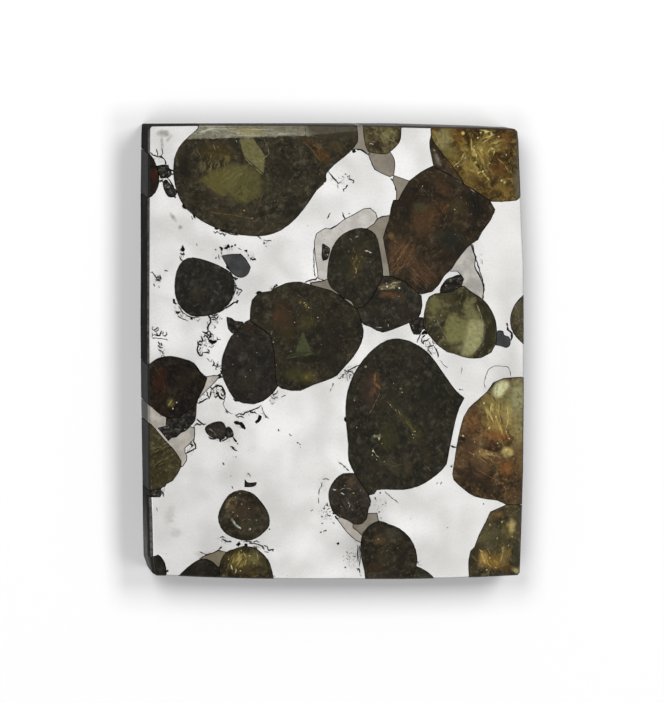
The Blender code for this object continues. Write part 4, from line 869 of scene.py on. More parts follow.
# %% The big crystal at the top left
crystal("olivine_big_top_left", (40, 38, 31), (58, 53, 41), [
    ("glow", -16.0, 26.2, 3.6, 1.9, -10, (74, 62, 36), 0.8),
    ("glow", -13.2, 22.2, 3.9, 3.2, 20, (92, 86, 50), 0.95),
    ("streaks", -16.6, 24.4, 2.2, 2.6, 75, (116, 106, 62), 0.7),
    ("haze", (98, 90, 50), 0.9, -19.4, 22.6, -15.4, 19.9, -13.2, 22.2, -14.4, 24.9, -17.4, 23.9),
    ("haze", (90, 86, 52), 0.9, -14.6, 25.4, -10.0, 24.0, -9.6, 20.3, -12.6, 18.9, -15.6, 21.2),
    ("facet", (116, 111, 72), 0.95, -13.3, 28.0, -11.2, 28.1, -9.6, 25.8, -9.8, 23.2, -12.6, 25.6),
    ("facet", (98, 92, 56), 0.8, -15.3, 25.9, -14.1, 25.7, -14.4, 24.8, -15.0, 24.7),
    ("streaks", -15.4, 24.6, 2.6, 0.9, 60, (104, 98, 62), 0.6),
    ("streaks", -12.6, 21.6, 2.9, 1.9, 65, (58, 54, 33), 0.9),
    ("streaks", -13.6, 23.2, 2.9, 1.6, 40, (122, 114, 70), 0.55),
    ("streaks", -12.2, 20.6, 2.4, 1.5, -30, (112, 104, 64), 0.5),
    ("glow", -9.3, 22.0, 1.2, 2.2, 0, (70, 68, 46), 0.6),
    ("glow", -14.6, 18.0, 3.6, 0.8, -12, (66, 58, 38), 0.7),
    ("streaks", -3.0, 26.7, 2.6, 1.1, -52, (98, 70, 40), 0.9),
    ("glow", -2.0, 25.8, 1.6, 1.0, -45, (92, 66, 38), 0.7),
    ("glow", -0.2, 26.9, 1.5, 1.0, -45, (70, 56, 36), 0.6),
    ("streaks", -6.3, 25.6, 1.8, 1.0, -60, (70, 60, 42), 0.6),
    ("streaks", -5.0, 21.2, 2.2, 0.5, -62, (66, 56, 42), 0.6),
    ("glow", -6.2, 18.6, 2.4, 2.0, 40, (36, 35, 31), 0.7),
    ("glow", -20.3, 24.2, 1.3, 3.0, 0, (30, 29, 25), 0.85),
    ("glow", -18.2, 20.3, 1.4, 1.8, 40, (36, 33, 26), 0.7),
    ("glow", -7.2, 24.0, 1.5, 2.2, 0, (42, 39, 32), 0.6),
    ("line", 0.12, (150, 146, 104), 0.9, -12.5, 25.5, -11.2, 24.3, -9.9, 23.2),
    ("line", 0.12, (158, 154, 122), 0.9, -11.5, 25.1, -10.6, 24.9, -10.0, 25.2, -9.4, 25.9),
    ("line", 0.09, (140, 136, 100), 0.8, -9.9, 28.0, -9.3, 26.9, -9.2, 25.9),
    ("line", 0.10, (150, 140, 110), 0.8, -16.6, 27.2, -16.3, 26.5),
    ("line", 0.09, (120, 110, 80), 0.8, -18.9, 27.0, -18.1, 25.2),
    ("line", 0.10, (196, 192, 170), 0.9, -13.6, 27.75, -13.5, 27.45),
    ("line", 0.09, (130, 112, 74), 0.8, -17.0, 18.4, -15.6, 18.15, -14.0, 18.0, -12.6, 17.75, -11.3,
     17.5),
    ("line", 0.10, (120, 114, 84), 0.7, -15.5, 22.9, -14.2, 24.0, -12.2, 24.4),
    ("line", 0.08, (118, 112, 80), 0.7, -14.9, 22.0, -13.8, 20.3, -13.1, 19.6),
    ("line", 0.08, (130, 122, 90), 0.6, -17.4, 21.9, -15.9, 20.9, -14.6, 20.4),
    ("line", 0.08, (110, 100, 74), 0.6, -9.9, 21.0, -10.6, 19.4, -10.9, 18.3),
    ("line", 0.10, (120, 96, 58), 0.8, -4.9, 27.9, -3.4, 26.6, -2.1, 24.7),
    ("line", 0.09, (126, 100, 62), 0.7, -3.6, 27.6, -2.2, 26.3, -0.9, 25.5),
    ("spots", 0.30, (176, 146, 88), 0.8, -12.5, 18.6, -11.4, 17.6),
    ("spots", 0.16, (150, 144, 120), 0.8, -7.0, 20.3, -7.7, 26.6, -6.9, 26.9, -8.4, 19.9, -6.4,
     22.4, -16.9, 25.6, -16.0, 26.9),
    # the grey-green ground strip along the top edge, scratched along its length
    ("facet", (134, 131, 113), 0.95, -20.6, 31.0, 2.6, 31.0, 2.6, 28.9, -4.0, 28.3, -12.0, 28.0,
     -20.9, 27.7),
    ("haze", (62, 56, 44), 0.9, -6.4, 33.0, 5.0, 33.0, 5.0, 27.4, -3.6, 27.4),
    ("glow", -12.0, 28.9, 3.2, 0.9, 0, (150, 142, 92), 0.9),
    ("streaks", -17.0, 29.0, 4.5, 0.8, 0, (196, 193, 178), 0.8),
    ("streaks", -11.0, 28.7, 9.5, 0.9, 0, (178, 174, 152), 0.8),
    ("streaks", -9.0, 29.2, 9.5, 0.7, 0, (78, 74, 58), 0.9),
    ("line", 0.10, (206, 203, 188), 0.8, -18.5, 29.2, -13.0, 29.25, -8.4, 29.15),
    ("line", 0.08, (200, 196, 176), 0.8, -15.0, 28.4, -9.0, 28.35, -6.0, 28.75),
    ("line", 0.12, (196, 193, 178), 0.85, -19.6, 29.55, -14.0, 29.55),
    ("line", 0.08, (190, 187, 172), 0.8, -17.3, 27.9, -15.6, 28.1, -14.0, 28.2),
    ("line", 0.07, (176, 172, 150), 0.7, -13.5, 28.5, -9.5, 28.6, -5.2, 28.6),
    ("line", 0.12, (160, 156, 132), 0.7, -5.5, 28.5, -3.0, 28.3),
    ("line", 0.16, (46, 42, 32), 0.9, -4.4, 29.5, -4.3, 28.8, -4.35, 28.0, -4.9, 27.6, -5.4, 27.5),
    ("line", 0.18, (48, 44, 33), 0.75, -20.8, 27.65, -16.0, 27.75, -12.0, 27.9, -6.0, 28.05),
], through=0.28)

# %% The pair left of the middle
crystal("olivine_pair_right", (38, 36, 30), (50, 46, 36), [
    ("glow", -7.4, 4.6, 2.0, 3.0, 0, (66, 50, 36), 0.9),
    ("glow", -8.2, 4.9, 1.3, 1.0, 60, (76, 56, 42), 0.8),
    ("glow", -6.6, 2.4, 1.4, 2.0, 0, (60, 52, 32), 0.8),
    ("glow", -4.0, 4.0, 1.6, 1.3, 0, (68, 64, 38), 0.85),
    ("streaks", -4.3, 6.3, 1.6, 1.4, -60, (92, 84, 50), 0.6),
    ("facet", (74, 78, 52), 0.95, -5.9, 0.1, -5.2, 2.0, -4.7, 3.5, -3.8, 1.2, -3.2, 0.0, -5.0, 0.0),
    ("facet", (60, 64, 40), 0.8, -5.9, 0.2, -3.2, 0.3, -2.7, -0.2, -7.2, -0.75),
    ("facet", (34, 33, 24), 0.85, -7.0, -0.95, -3.3, -0.2, 0.2, -0.6, -4.0, -1.6),
    ("glow", -5.2, -2.9, 3.2, 1.3, -12, (66, 63, 38), 0.95),
    ("glow", -3.7, -3.1, 1.4, 0.7, 0, (92, 82, 46), 0.7),
    ("glow", -1.0, 1.6, 2.4, 5.0, 0, (40, 37, 33), 0.8),
    ("glow", -1.6, -2.8, 1.4, 1.0, 0, (58, 54, 36), 0.6),
    ("line", 0.10, (104, 108, 72), 0.8, -7.0, -0.75, -5.0, -0.4, -3.2, -0.05),
    ("line", 0.09, (120, 112, 70), 0.7, -5.5, 7.6, -4.8, 7.3),
    ("line", 0.08, (112, 108, 92), 0.7, -7.8, 7.8, -6.8, 7.3),
    ("line", 0.09, (140, 134, 110), 0.7, -12.0, 4.0, -10.4, 3.1, -9.0, 2.3, -8.7, 3.0),
    ("spots", 0.16, (232, 228, 200), 0.95, -4.3, 6.3, -4.5, 6.5, -2.7, 4.65, -5.8, 4.0, -6.3, 0.2,
     -8.2, -1.6, -8.6, 1.4, -3.9, 5.9),
    ("spots", 0.50, (128, 106, 48), 0.7, -4.3, 6.1, -5.0, 6.6, -4.2, -3.2),
    ("spots", 0.28, (120, 100, 50), 0.8, -3.2, -3.0),
    ("spots", 0.14, (150, 142, 120), 0.8, -8.6, -0.4, -8.7, -2.7, -8.6, -3.3, -8.5, 2.0, -8.9, 0.6,
     0.3, 2.2, -2.2, 1.1, 0.6, 0.4),
    ("line", 0.07, (118, 104, 64), 0.5, -5.3, 7.3, -4.4, 6.2, -3.6, 5.2, -3.4, 3.6),
    ("line", 0.08, (100, 78, 52), 0.6, -8.2, 6.6, -7.0, 5.6, -5.6, 5.2),
])
crystal("olivine_pair_left", (35, 33, 30), (44, 41, 36), [
    ("glow", -12.0, 3.3, 1.6, 1.0, -40, (58, 48, 38), 0.7),
    ("glow", -12.3, -3.6, 2.0, 1.6, 0, (52, 48, 38), 0.8),
    ("glow", -13.6, 1.0, 1.4, 1.6, 0, (52, 46, 40), 0.6),
    ("glow", -10.0, -1.0, 1.2, 2.0, 0, (33, 32, 30), 0.7),
    ("streaks", -11.0, 1.5, 2.2, 1.0, -60, (66, 56, 46), 0.5),
    ("spots", 0.18, (150, 146, 130), 0.9, -12.3, -3.1, -10.8, 0.0, -13.4, 2.2, -12.9, 3.4, -11.7,
     -2.3, -14.0, -1.5),
    ("line", 0.07, (90, 84, 74), 0.7, -13.0, -2.3, -12.4, -3.2, -12.2, -4.2),
    ("line", 0.06, (84, 78, 70), 0.6, -13.8, 3.4, -12.6, 2.6, -11.4, 2.4),
])

# %% The crystals in the middle
crystal("olivine_oval_middle", (39, 37, 30), (49, 46, 37), [
    ("glow", 2.6, 12.0, 1.6, 1.8, 0, (70, 60, 36), 0.85),
    ("glow", 3.6, 14.0, 1.6, 1.4, 0, (62, 56, 40), 0.7),
    ("glow", 2.1, 10.6, 0.9, 1.2, 0, (78, 66, 40), 0.7),
    ("glow", 0.8, 11.2, 1.0, 2.0, 0, (42, 46, 34), 0.6),
    ("line", 0.16, (226, 222, 202), 0.95, 3.6, 13.4, 4.1, 13.3, 4.5, 13.1),
    ("line", 0.12, (190, 184, 160), 0.8, 2.3, 15.1, 2.7, 15.3),
    ("line", 0.12, (176, 170, 146), 0.8, 1.6, 14.95, 1.9, 14.7),
    ("line", 0.12, (190, 184, 150), 0.8, 2.3, 11.2, 2.5, 10.8, 2.4, 10.4),
    ("line", 0.08, (130, 120, 90), 0.7, 1.9, 13.9, 2.4, 13.0, 2.6, 12.1),
    ("streaks", 2.6, 12.0, 1.4, 1.6, 70, (104, 92, 60), 0.6),
    ("spots", 0.14, (190, 180, 140), 0.8, 2.9, 11.9, 1.9, 12.4, 3.2, 12.6, 2.2, 9.9, 4.3, 11.9, 1.4,
     13.3),
])
crystal("olivine_middle_lower", (39, 37, 32), (50, 47, 39), [
    ("glow", 6.8, 8.8, 1.9, 0.8, 0, (104, 92, 66), 0.9),
    ("streaks", 6.9, 8.9, 1.9, 0.7, 15, (190, 178, 140), 0.8),
    ("glow", 7.0, 7.6, 1.9, 0.6, 0, (96, 66, 40), 0.85),
    ("glow", 8.6, 7.2, 1.0, 0.8, 0, (70, 56, 40), 0.7),
    ("glow", 5.0, 6.0, 1.6, 1.8, 0, (40, 38, 31), 0.7),
    ("glow", 9.0, 5.2, 1.6, 1.3, 0, (46, 40, 34), 0.7),
    ("spots", 0.36, (236, 230, 204), 0.9, 6.6, 8.7, 8.2, 8.5, 5.2, 8.75),
    ("spots", 0.2, (220, 212, 184), 0.9, 5.3, 9.4, 7.5, 8.5, 6.5, 9.1, 7.1, 8.95, 5.9, 8.4),
    ("spots", 0.2, (170, 110, 60), 0.8, 8.2, 7.4, 7.4, 7.3),
    ("spots", 0.13, (150, 140, 120), 0.8, 6.9, 5.6, 8.1, 4.6, 5.0, 4.4, 9.6, 6.0),
    ("line", 0.16, (180, 176, 164), 0.8, 5.1, 3.35, 5.9, 3.3),
    ("line", 0.1, (190, 186, 172), 0.8, 6.7, 3.8, 6.75, 3.4),
])
crystal("olivine_red_brown", (39, 35, 28), (54, 45, 34), [
    ("glow", 11.6, 17.0, 3.2, 2.2, 35, (80, 60, 43), 0.95),
    ("glow", 12.0, 18.6, 3.6, 1.2, 30, (76, 56, 36), 0.7),
    ("glow", 8.6, 13.2, 2.4, 3.0, 60, (84, 63, 45), 0.9),
    ("streaks", 8.6, 12.6, 3.4, 2.0, 55, (116, 86, 60), 0.85),
    ("streaks", 11.2, 10.2, 2.6, 2.0, -42, (112, 86, 62), 0.8),
    ("glow", 11.4, 10.6, 2.8, 1.8, -30, (78, 60, 44), 0.8),
    ("streaks", 13.4, 18.4, 3.4, 1.0, 38, (100, 70, 44), 0.7),
    ("glow", 14.0, 21.6, 3.0, 1.2, -42, (74, 56, 38), 0.75),
    ("glow", 16.0, 19.2, 1.8, 1.6, 0, (72, 62, 40), 0.7),
    ("streaks", 9.6, 19.4, 2.6, 1.3, -38, (72, 54, 36), 0.6),
    ("glow", 15.2, 14.8, 2.3, 2.4, 30, (40, 43, 38), 0.95),
    ("glow", 9.0, 17.2, 1.0, 2.0, 0, (46, 44, 34), 0.6),
    ("glow", 18.0, 20.0, 1.6, 1.6, 0, (34, 32, 27), 0.85),
    ("glow", 12.6, 24.4, 3.0, 0.8, 0, (38, 34, 28), 0.8),
    ("glow", 8.4, 20.6, 1.2, 2.6, -20, (36, 32, 27), 0.7),
    ("glow", 14.8, 12.2, 1.4, 1.6, 45, (36, 33, 27), 0.7),
    ("line", 0.14, (176, 166, 140), 0.85, 13.4, 24.2, 14.2, 23.9, 15.6, 22.9, 16.8, 22.1),
    ("line", 0.12, (190, 184, 170), 0.85, 17.7, 21.5, 18.4, 21.0),
    ("line", 0.08, (120, 92, 60), 0.7, 10.9, 21.9, 12.4, 20.4, 13.6, 19.3, 14.2, 18.2),
    ("line", 0.08, (136, 96, 62), 0.6, 7.2, 15.2, 8.4, 14.0, 9.0, 12.6),
    ("line", 0.08, (140, 104, 70), 0.6, 9.4, 11.6, 10.8, 10.2, 11.8, 9.0),
    ("line", 0.08, (128, 92, 60), 0.6, 11.0, 12.2, 12.6, 10.6, 13.4, 9.4),
    ("spots", 0.22, (198, 188, 160), 0.9, 11.3, 21.8, 15.6, 18.8, 17.9, 18.2),
    ("spots", 0.16, (168, 154, 120), 0.85, 14.7, 19.3, 15.7, 15.5, 9.3, 8.9, 17.2, 19.6, 16.5, 20.4,
     7.6, 14.6, 8.0, 12.3),
    ("glow", 7.1, 15.3, 0.7, 0.6, 0, (110, 92, 52), 0.8),
    ("glow", 9.6, 19.6, 1.6, 3.2, -28, (33, 31, 26), 0.8),
    ("glow", 11.0, 19.2, 1.4, 1.1, 0, (74, 70, 50), 0.75),
    ("glow", 18.6, 19.0, 1.6, 3.2, -15, (31, 30, 26), 0.9),
    ("glow", 16.4, 13.4, 1.5, 2.6, 35, (32, 32, 28), 0.85),
    ("glow", 13.4, 15.6, 1.2, 1.0, 0, (58, 54, 40), 0.7),
])

# %% [markdown]
# ### The golden crystals
#
# Some crystals are clear enough for light to come back out of them, golden brown and full of
# crumpled reflections. They are given more see-through and less density than the dark ones, and
# brighter marks, which are painted glow of that light and painted reflections. The same call
# paints them: only the numbers differ.

# %% The golden ones at the top right
crystal("olivine_gold_top_right", (46, 35, 18), (98, 80, 42), [
    ("glow", 14.0, 28.0, 1.7, 2.0, 0, (146, 138, 92), 0.9),
    ("glow", 15.2, 26.2, 1.6, 1.2, -35, (120, 108, 62), 0.8),
    ("glow", 16.3, 28.5, 0.8, 1.5, 0, (112, 72, 34), 0.85),
    ("glow", 22.3, 28.2, 1.4, 1.4, 0, (102, 68, 34), 0.85),
    ("glow", 21.5, 24.0, 1.8, 1.6, 0, (96, 66, 34), 0.8),
    ("glow", 19.2, 26.4, 2.2, 2.4, 30, (134, 110, 56), 0.8),
    ("streaks", 18.6, 25.6, 3.0, 2.2, -60, (178, 164, 92), 0.8),
    ("streaks", 20.4, 27.6, 2.4, 1.4, 20, (190, 176, 100), 0.7),
    ("streaks", 17.6, 24.2, 2.4, 1.0, -40, (160, 142, 76), 0.7),
    ("streaks", 21.0, 25.4, 2.2, 1.6, 70, (64, 44, 22), 0.7),
    ("streaks", 17.6, 27.6, 2.0, 1.4, 50, (70, 50, 24), 0.6),
    ("glow", 19.6, 29.4, 4.0, 0.4, 0, (60, 46, 26), 0.7),
    ("glow", 24.2, 25.0, 0.9, 6.5, 0, (92, 90, 70), 0.8),
    ("glow", 24.3, 22.0, 1.0, 3.0, 0, (100, 98, 80), 0.8),
    ("glow", 22.0, 21.4, 2.0, 0.6, 0, (120, 96, 48), 0.6),
    ("glow", 18.6, 22.4, 1.2, 0.7, -30, (78, 58, 30), 0.8),
    ("spots", 0.62, (206, 194, 118), 0.9, 16.7, 28.8, 19.8, 29.0),
    ("spots", 0.36, (226, 214, 140), 0.9, 19.1, 28.9, 18.7, 28.2, 19.4, 23.8, 21.9, 22.6, 18.8,
     23.6),
    ("spots", 0.5, (190, 176, 98), 0.85, 22.3, 22.4, 20.6, 26.8, 19.2, 26.6, 18.4, 25.0),
    ("spots", 0.22, (240, 230, 170), 0.9, 17.9, 26.7, 18.2, 27.1, 20.9, 26.4, 17.0, 25.6, 21.5,
     28.4, 22.5, 26.0, 16.0, 24.4, 20.3, 24.9),
    ("line", 0.3, (196, 182, 106), 0.85, 17.8, 28.0, 17.9, 27.2, 17.9, 26.5),
    ("line", 0.2, (206, 192, 112), 0.85, 18.1, 26.9, 18.4, 26.2, 18.6, 25.7),
    ("line", 0.22, (214, 200, 126), 0.85, 19.0, 29.2, 20.5, 29.0, 20.6, 28.5, 19.8, 28.2),
    ("line", 0.18, (200, 186, 112), 0.85, 20.0, 26.2, 20.4, 27.0, 21.0, 26.6, 20.8, 26.0),
    ("line", 0.3, (188, 172, 96), 0.8, 18.8, 23.6, 19.2, 23.8, 19.9, 23.1, 20.3, 22.6),
    ("line", 0.16, (200, 186, 118), 0.8, 15.4, 24.4, 16.4, 25.2, 17.0, 26.4),
    ("line", 0.14, (160, 148, 98), 0.8, 12.9, 29.0, 13.6, 27.6, 14.2, 26.4),
    ("line", 0.12, (90, 84, 52), 0.8, 14.0, 29.2, 14.5, 28.0, 15.3, 27.0),
    ("line", 0.12, (174, 160, 104), 0.7, 21.2, 25.6, 22.3, 24.8, 22.9, 23.6),
], through=0.4, density=520.0, tint=(0.72, 0.60, 0.22))
crystal("olivine_sliver_top", (36, 29, 19), (58, 50, 38), [
    ("glow", 13.3, 25.5, 0.45, 1.3, 25, (118, 112, 98), 0.85),
    ("spots", 0.3, (168, 158, 128), 0.85, 12.9, 26.5, 13.3, 25.4),
    ("line", 0.12, (140, 130, 104), 0.8, 13.0, 25.9, 13.5, 25.0, 13.9, 24.5),
    ("streaks", 14.8, 24.6, 2.6, 0.6, -50, (104, 72, 44), 0.8),
    ("line", 0.1, (120, 96, 64), 0.7, 13.2, 27.6, 14.4, 25.6, 15.6, 23.8),
])
crystal("olivine_top_middle", (50, 44, 31), (90, 82, 58), [
    ("glow", 6.8, 28.6, 1.6, 1.2, 0, (124, 116, 76), 0.9),
    ("streaks", 6.6, 27.9, 1.6, 1.2, -60, (140, 130, 88), 0.8),
    ("glow", 4.8, 27.1, 1.5, 0.8, -15, (44, 40, 30), 0.9),
    ("streaks", 5.6, 29.0, 1.8, 0.5, -10, (60, 54, 36), 0.8),
    ("glow", 3.6, 28.8, 0.6, 0.8, 0, (70, 60, 40), 0.7),
    ("streaks", 7.2, 28.2, 1.4, 0.8, 80, (58, 52, 32), 0.7),
    ("line", 0.14, (206, 202, 182), 0.9, 4.2, 27.3, 4.5, 27.4, 4.7, 27.25),
    ("line", 0.1, (160, 152, 110), 0.7, 5.9, 28.9, 6.8, 28.0, 7.6, 27.6),
    ("line", 0.1, (150, 142, 100), 0.7, 5.6, 28.3, 6.4, 27.4),
    ("spots", 0.2, (180, 170, 120), 0.8, 6.1, 28.7, 7.2, 29.0, 7.5, 27.9),
], through=0.35, density=700.0)

# %% The green one and its neighbour on the right edge
crystal("olivine_green", (46, 43, 31), (76, 72, 49), [
    ("glow", 13.0, 6.2, 1.5, 1.3, 20, (106, 104, 66), 0.95),
    ("glow", 14.2, 7.6, 1.4, 0.6, 0, (74, 70, 44), 0.8),
    ("haze", (122, 120, 76), 0.95, 13.8, 3.5, 14.7, 5.8, 17.0, 4.9, 18.6, 3.2, 17.6, 1.2, 14.3,
     0.7),
    ("haze", (126, 123, 84), 0.8, 16.2, 6.6, 17.5, 7.7, 19.1, 5.7, 19.7, 3.4, 17.2, 3.2, 16.6, 4.8),
    ("haze", (162, 159, 114), 0.95, 17.0, 4.6, 19.9, 4.8, 19.9, 1.9, 19.1, 0.2, 17.7, -0.9, 15.8,
     -0.5, 16.4, 1.8),
    ("glow", 16.4, 0.5, 1.6, 0.8, 0, (120, 118, 84), 0.7),
    ("facet", (44, 41, 30), 0.95, 17.9, 8.8, 19.6, 7.6, 21.2, 4.8, 19.5, 4.0, 18.7, 6.2),
    ("facet", (44, 41, 30), 0.95, 19.55, 4.6, 21.4, 5.0, 21.2, 1.2, 19.8, -0.4, 18.9, 0.2, 19.45,
     1.9),
    ("glow", 16.2, 5.5, 1.6, 0.55, -38, (52, 49, 34), 0.9),
    ("glow", 15.4, 7.0, 0.8, 1.1, -20, (58, 54, 36), 0.8),
    ("streaks", 16.4, 4.4, 1.8, 0.8, -35, (60, 58, 38), 0.6),
    ("glow", 13.0, 3.0, 1.3, 2.0, 25, (46, 43, 32), 0.9),
    ("streaks", 13.1, 3.2, 1.8, 1.0, 60, (112, 108, 86), 0.7),
    ("glow", 14.9, 0.8, 1.4, 0.8, -20, (70, 66, 46), 0.7),
    ("line", 0.14, (178, 176, 140), 0.6, 18.6, 6.4, 19.1, 5.2, 19.35, 4.2, 19.45, 3.2, 19.3, 1.8,
     18.8, 0.6, 17.8, -0.1),
    ("glow", 14.6, 8.0, 2.0, 0.5, 10, (60, 56, 38), 0.8),
    ("glow", 13.0, 1.8, 1.2, 1.0, 0, (54, 50, 38), 0.8),
    ("line", 0.12, (58, 54, 36), 0.8, 14.6, 5.7, 15.8, 5.3, 17.2, 4.5),
    ("line", 0.1, (150, 148, 116), 0.6, 13.2, 4.4, 13.9, 3.0, 14.9, 1.6),
    ("spots", 0.16, (170, 168, 140), 0.8, 12.3, 3.5, 13.4, 2.1, 12.9, 4.2, 14.3, 1.1, 13.8, 4.9),
    ("line", 0.1, (96, 92, 68), 0.7, 19.6, 6.6, 20.3, 5.2, 20.6, 3.6),
], through=0.4, density=520.0, tint=(0.62, 0.62, 0.30))
crystal("olivine_right_rim", (54, 50, 38), (74, 70, 54), [
    ("glow", 24.0, 5.4, 0.7, 1.6, 0, (92, 84, 60), 0.8),
    ("glow", 23.3, 4.0, 0.7, 0.8, 0, (74, 54, 36), 0.7),
    ("line", 0.1, (150, 144, 118), 0.7, 23.6, 6.6, 24.2, 5.2, 24.3, 4.0),
], through=0.35, density=700.0)

# %% The big lower one and the small one at its corner
crystal("olivine_big_lower", (36, 35, 29), (48, 45, 36), [
    ("glow", 9.4, -9.3, 3.0, 0.5, -52, (76, 70, 45), 0.8),
    ("glow", 6.9, -14.8, 2.5, 0.6, -30, (74, 68, 52), 0.75),
    ("spots", 0.3, (150, 138, 100), 0.8, 10.1, -10.3, 10.3, -10.8, 7.2, -7.1, 7.7, -7.5),
    ("glow", 4.2, -4.6, 1.6, 3.6, 0, (60, 48, 42), 0.9),
    ("glow", 5.0, -3.6, 0.9, 2.0, 0, (76, 58, 42), 0.85),
    ("line", 0.5, (120, 92, 60), 0.8, 5.0, -2.6, 4.9, -4.0, 5.7, -4.7),
    ("streaks", 4.9, -4.8, 2.6, 0.8, 75, (106, 80, 58), 0.7),
    ("glow", 6.6, -11.2, 2.2, 2.4, 0, (60, 58, 36), 0.85),
    ("glow", 9.4, -15.2, 0.9, 1.6, 0, (70, 62, 46), 0.75),
    ("glow", 7.2, -7.0, 2.4, 1.6, -40, (52, 50, 36), 0.7),
    ("glow", 10.4, -11.0, 1.6, 1.6, -40, (60, 56, 36), 0.75),
    ("glow", 11.8, -13.4, 1.0, 1.8, 20, (60, 52, 36), 0.7),
    ("glow", 5.4, -15.2, 2.2, 0.9, -15, (52, 46, 36), 0.7),
    ("glow", 12.2, -6.0, 2.2, 4.0, 0, (40, 38, 32), 0.7),
    ("streaks", 7.4, -14.6, 2.4, 1.0, -10, (84, 76, 56), 0.6),
    ("streaks", 9.6, -9.4, 2.8, 0.7, -50, (88, 82, 50), 0.7),
    ("streaks", 9.0, -3.6, 3.0, 1.4, -40, (60, 56, 46), 0.5),
    ("line", 0.12, (136, 112, 82), 0.8, 5.6, -5.2, 5.3, -6.0, 5.0, -6.5, 4.6, -7.4, 4.2, -8.0),
    ("line", 0.1, (108, 96, 66), 0.7, 6.3, -6.2, 7.4, -7.2, 8.2, -8.2, 9.0, -9.6),
    ("line", 0.12, (190, 184, 160), 0.8, 4.6, -12.5, 5.0, -13.3, 5.5, -13.8),
    ("line", 0.12, (150, 140, 96), 0.8, 8.0, -7.5, 8.4, -8.2),
    ("spots", 0.50, (150, 140, 120), 0.8, 3.7, -1.8),
    ("spots", 0.16, (226, 222, 200), 0.9, 7.4, -4.0, 5.5, -11.4, 4.9, -10.9, 10.0, -10.7, 2.2, -6.2,
     10.3, -10.3),
    ("spots", 0.5, (116, 112, 92), 0.75, 8.4, -4.7, 5.6, -10.8),
    ("spots", 0.32, (236, 230, 200), 0.95, 5.5, -11.2, 4.7, -12.9),
    ("spots", 0.2, (190, 180, 140), 0.85, 7.0, -6.8, 4.6, -13.4, 5.2, -14.0, 10.1, -11.2, 5.9,
     -11.9, 8.6, -5.2, 2.5, -9.8, 6.2, -14.3),
    ("glow", 5.2, -10.9, 0.9, 0.4, 0, (140, 130, 96), 0.8),
])
crystal("olivine_small_lower", (40, 36, 30), (54, 49, 42), [
    ("glow", 1.8, -16.9, 1.0, 0.8, 0, (86, 68, 48), 0.85),
    ("glow", 1.2, -19.4, 1.4, 1.2, 0, (50, 44, 42), 0.7),
    ("line", 0.2, (236, 236, 230), 0.95, -0.6, -17.9, -0.3, -18.05),
    ("line", 0.2, (228, 226, 216), 0.95, 0.5, -18.4, 0.8, -18.6),
    ("spots", 0.3, (190, 160, 90), 0.85, 2.1, -18.4),
    ("line", 0.12, (190, 188, 180), 0.85, 1.3, -19.6, 1.6, -19.9, 1.5, -20.3),
    ("line", 0.1, (160, 156, 146), 0.8, 0.2, -18.0, 1.0, -17.7, 1.9, -18.0),
    ("spots", 0.15, (180, 176, 160), 0.8, 0.9, -17.4, 2.6, -19.6, 1.9, -20.6, 0.4, -20.2, 3.0,
     -18.0),
    ("streaks", 1.4, -19.8, 1.4, 1.0, -60, (96, 90, 84), 0.6),
])

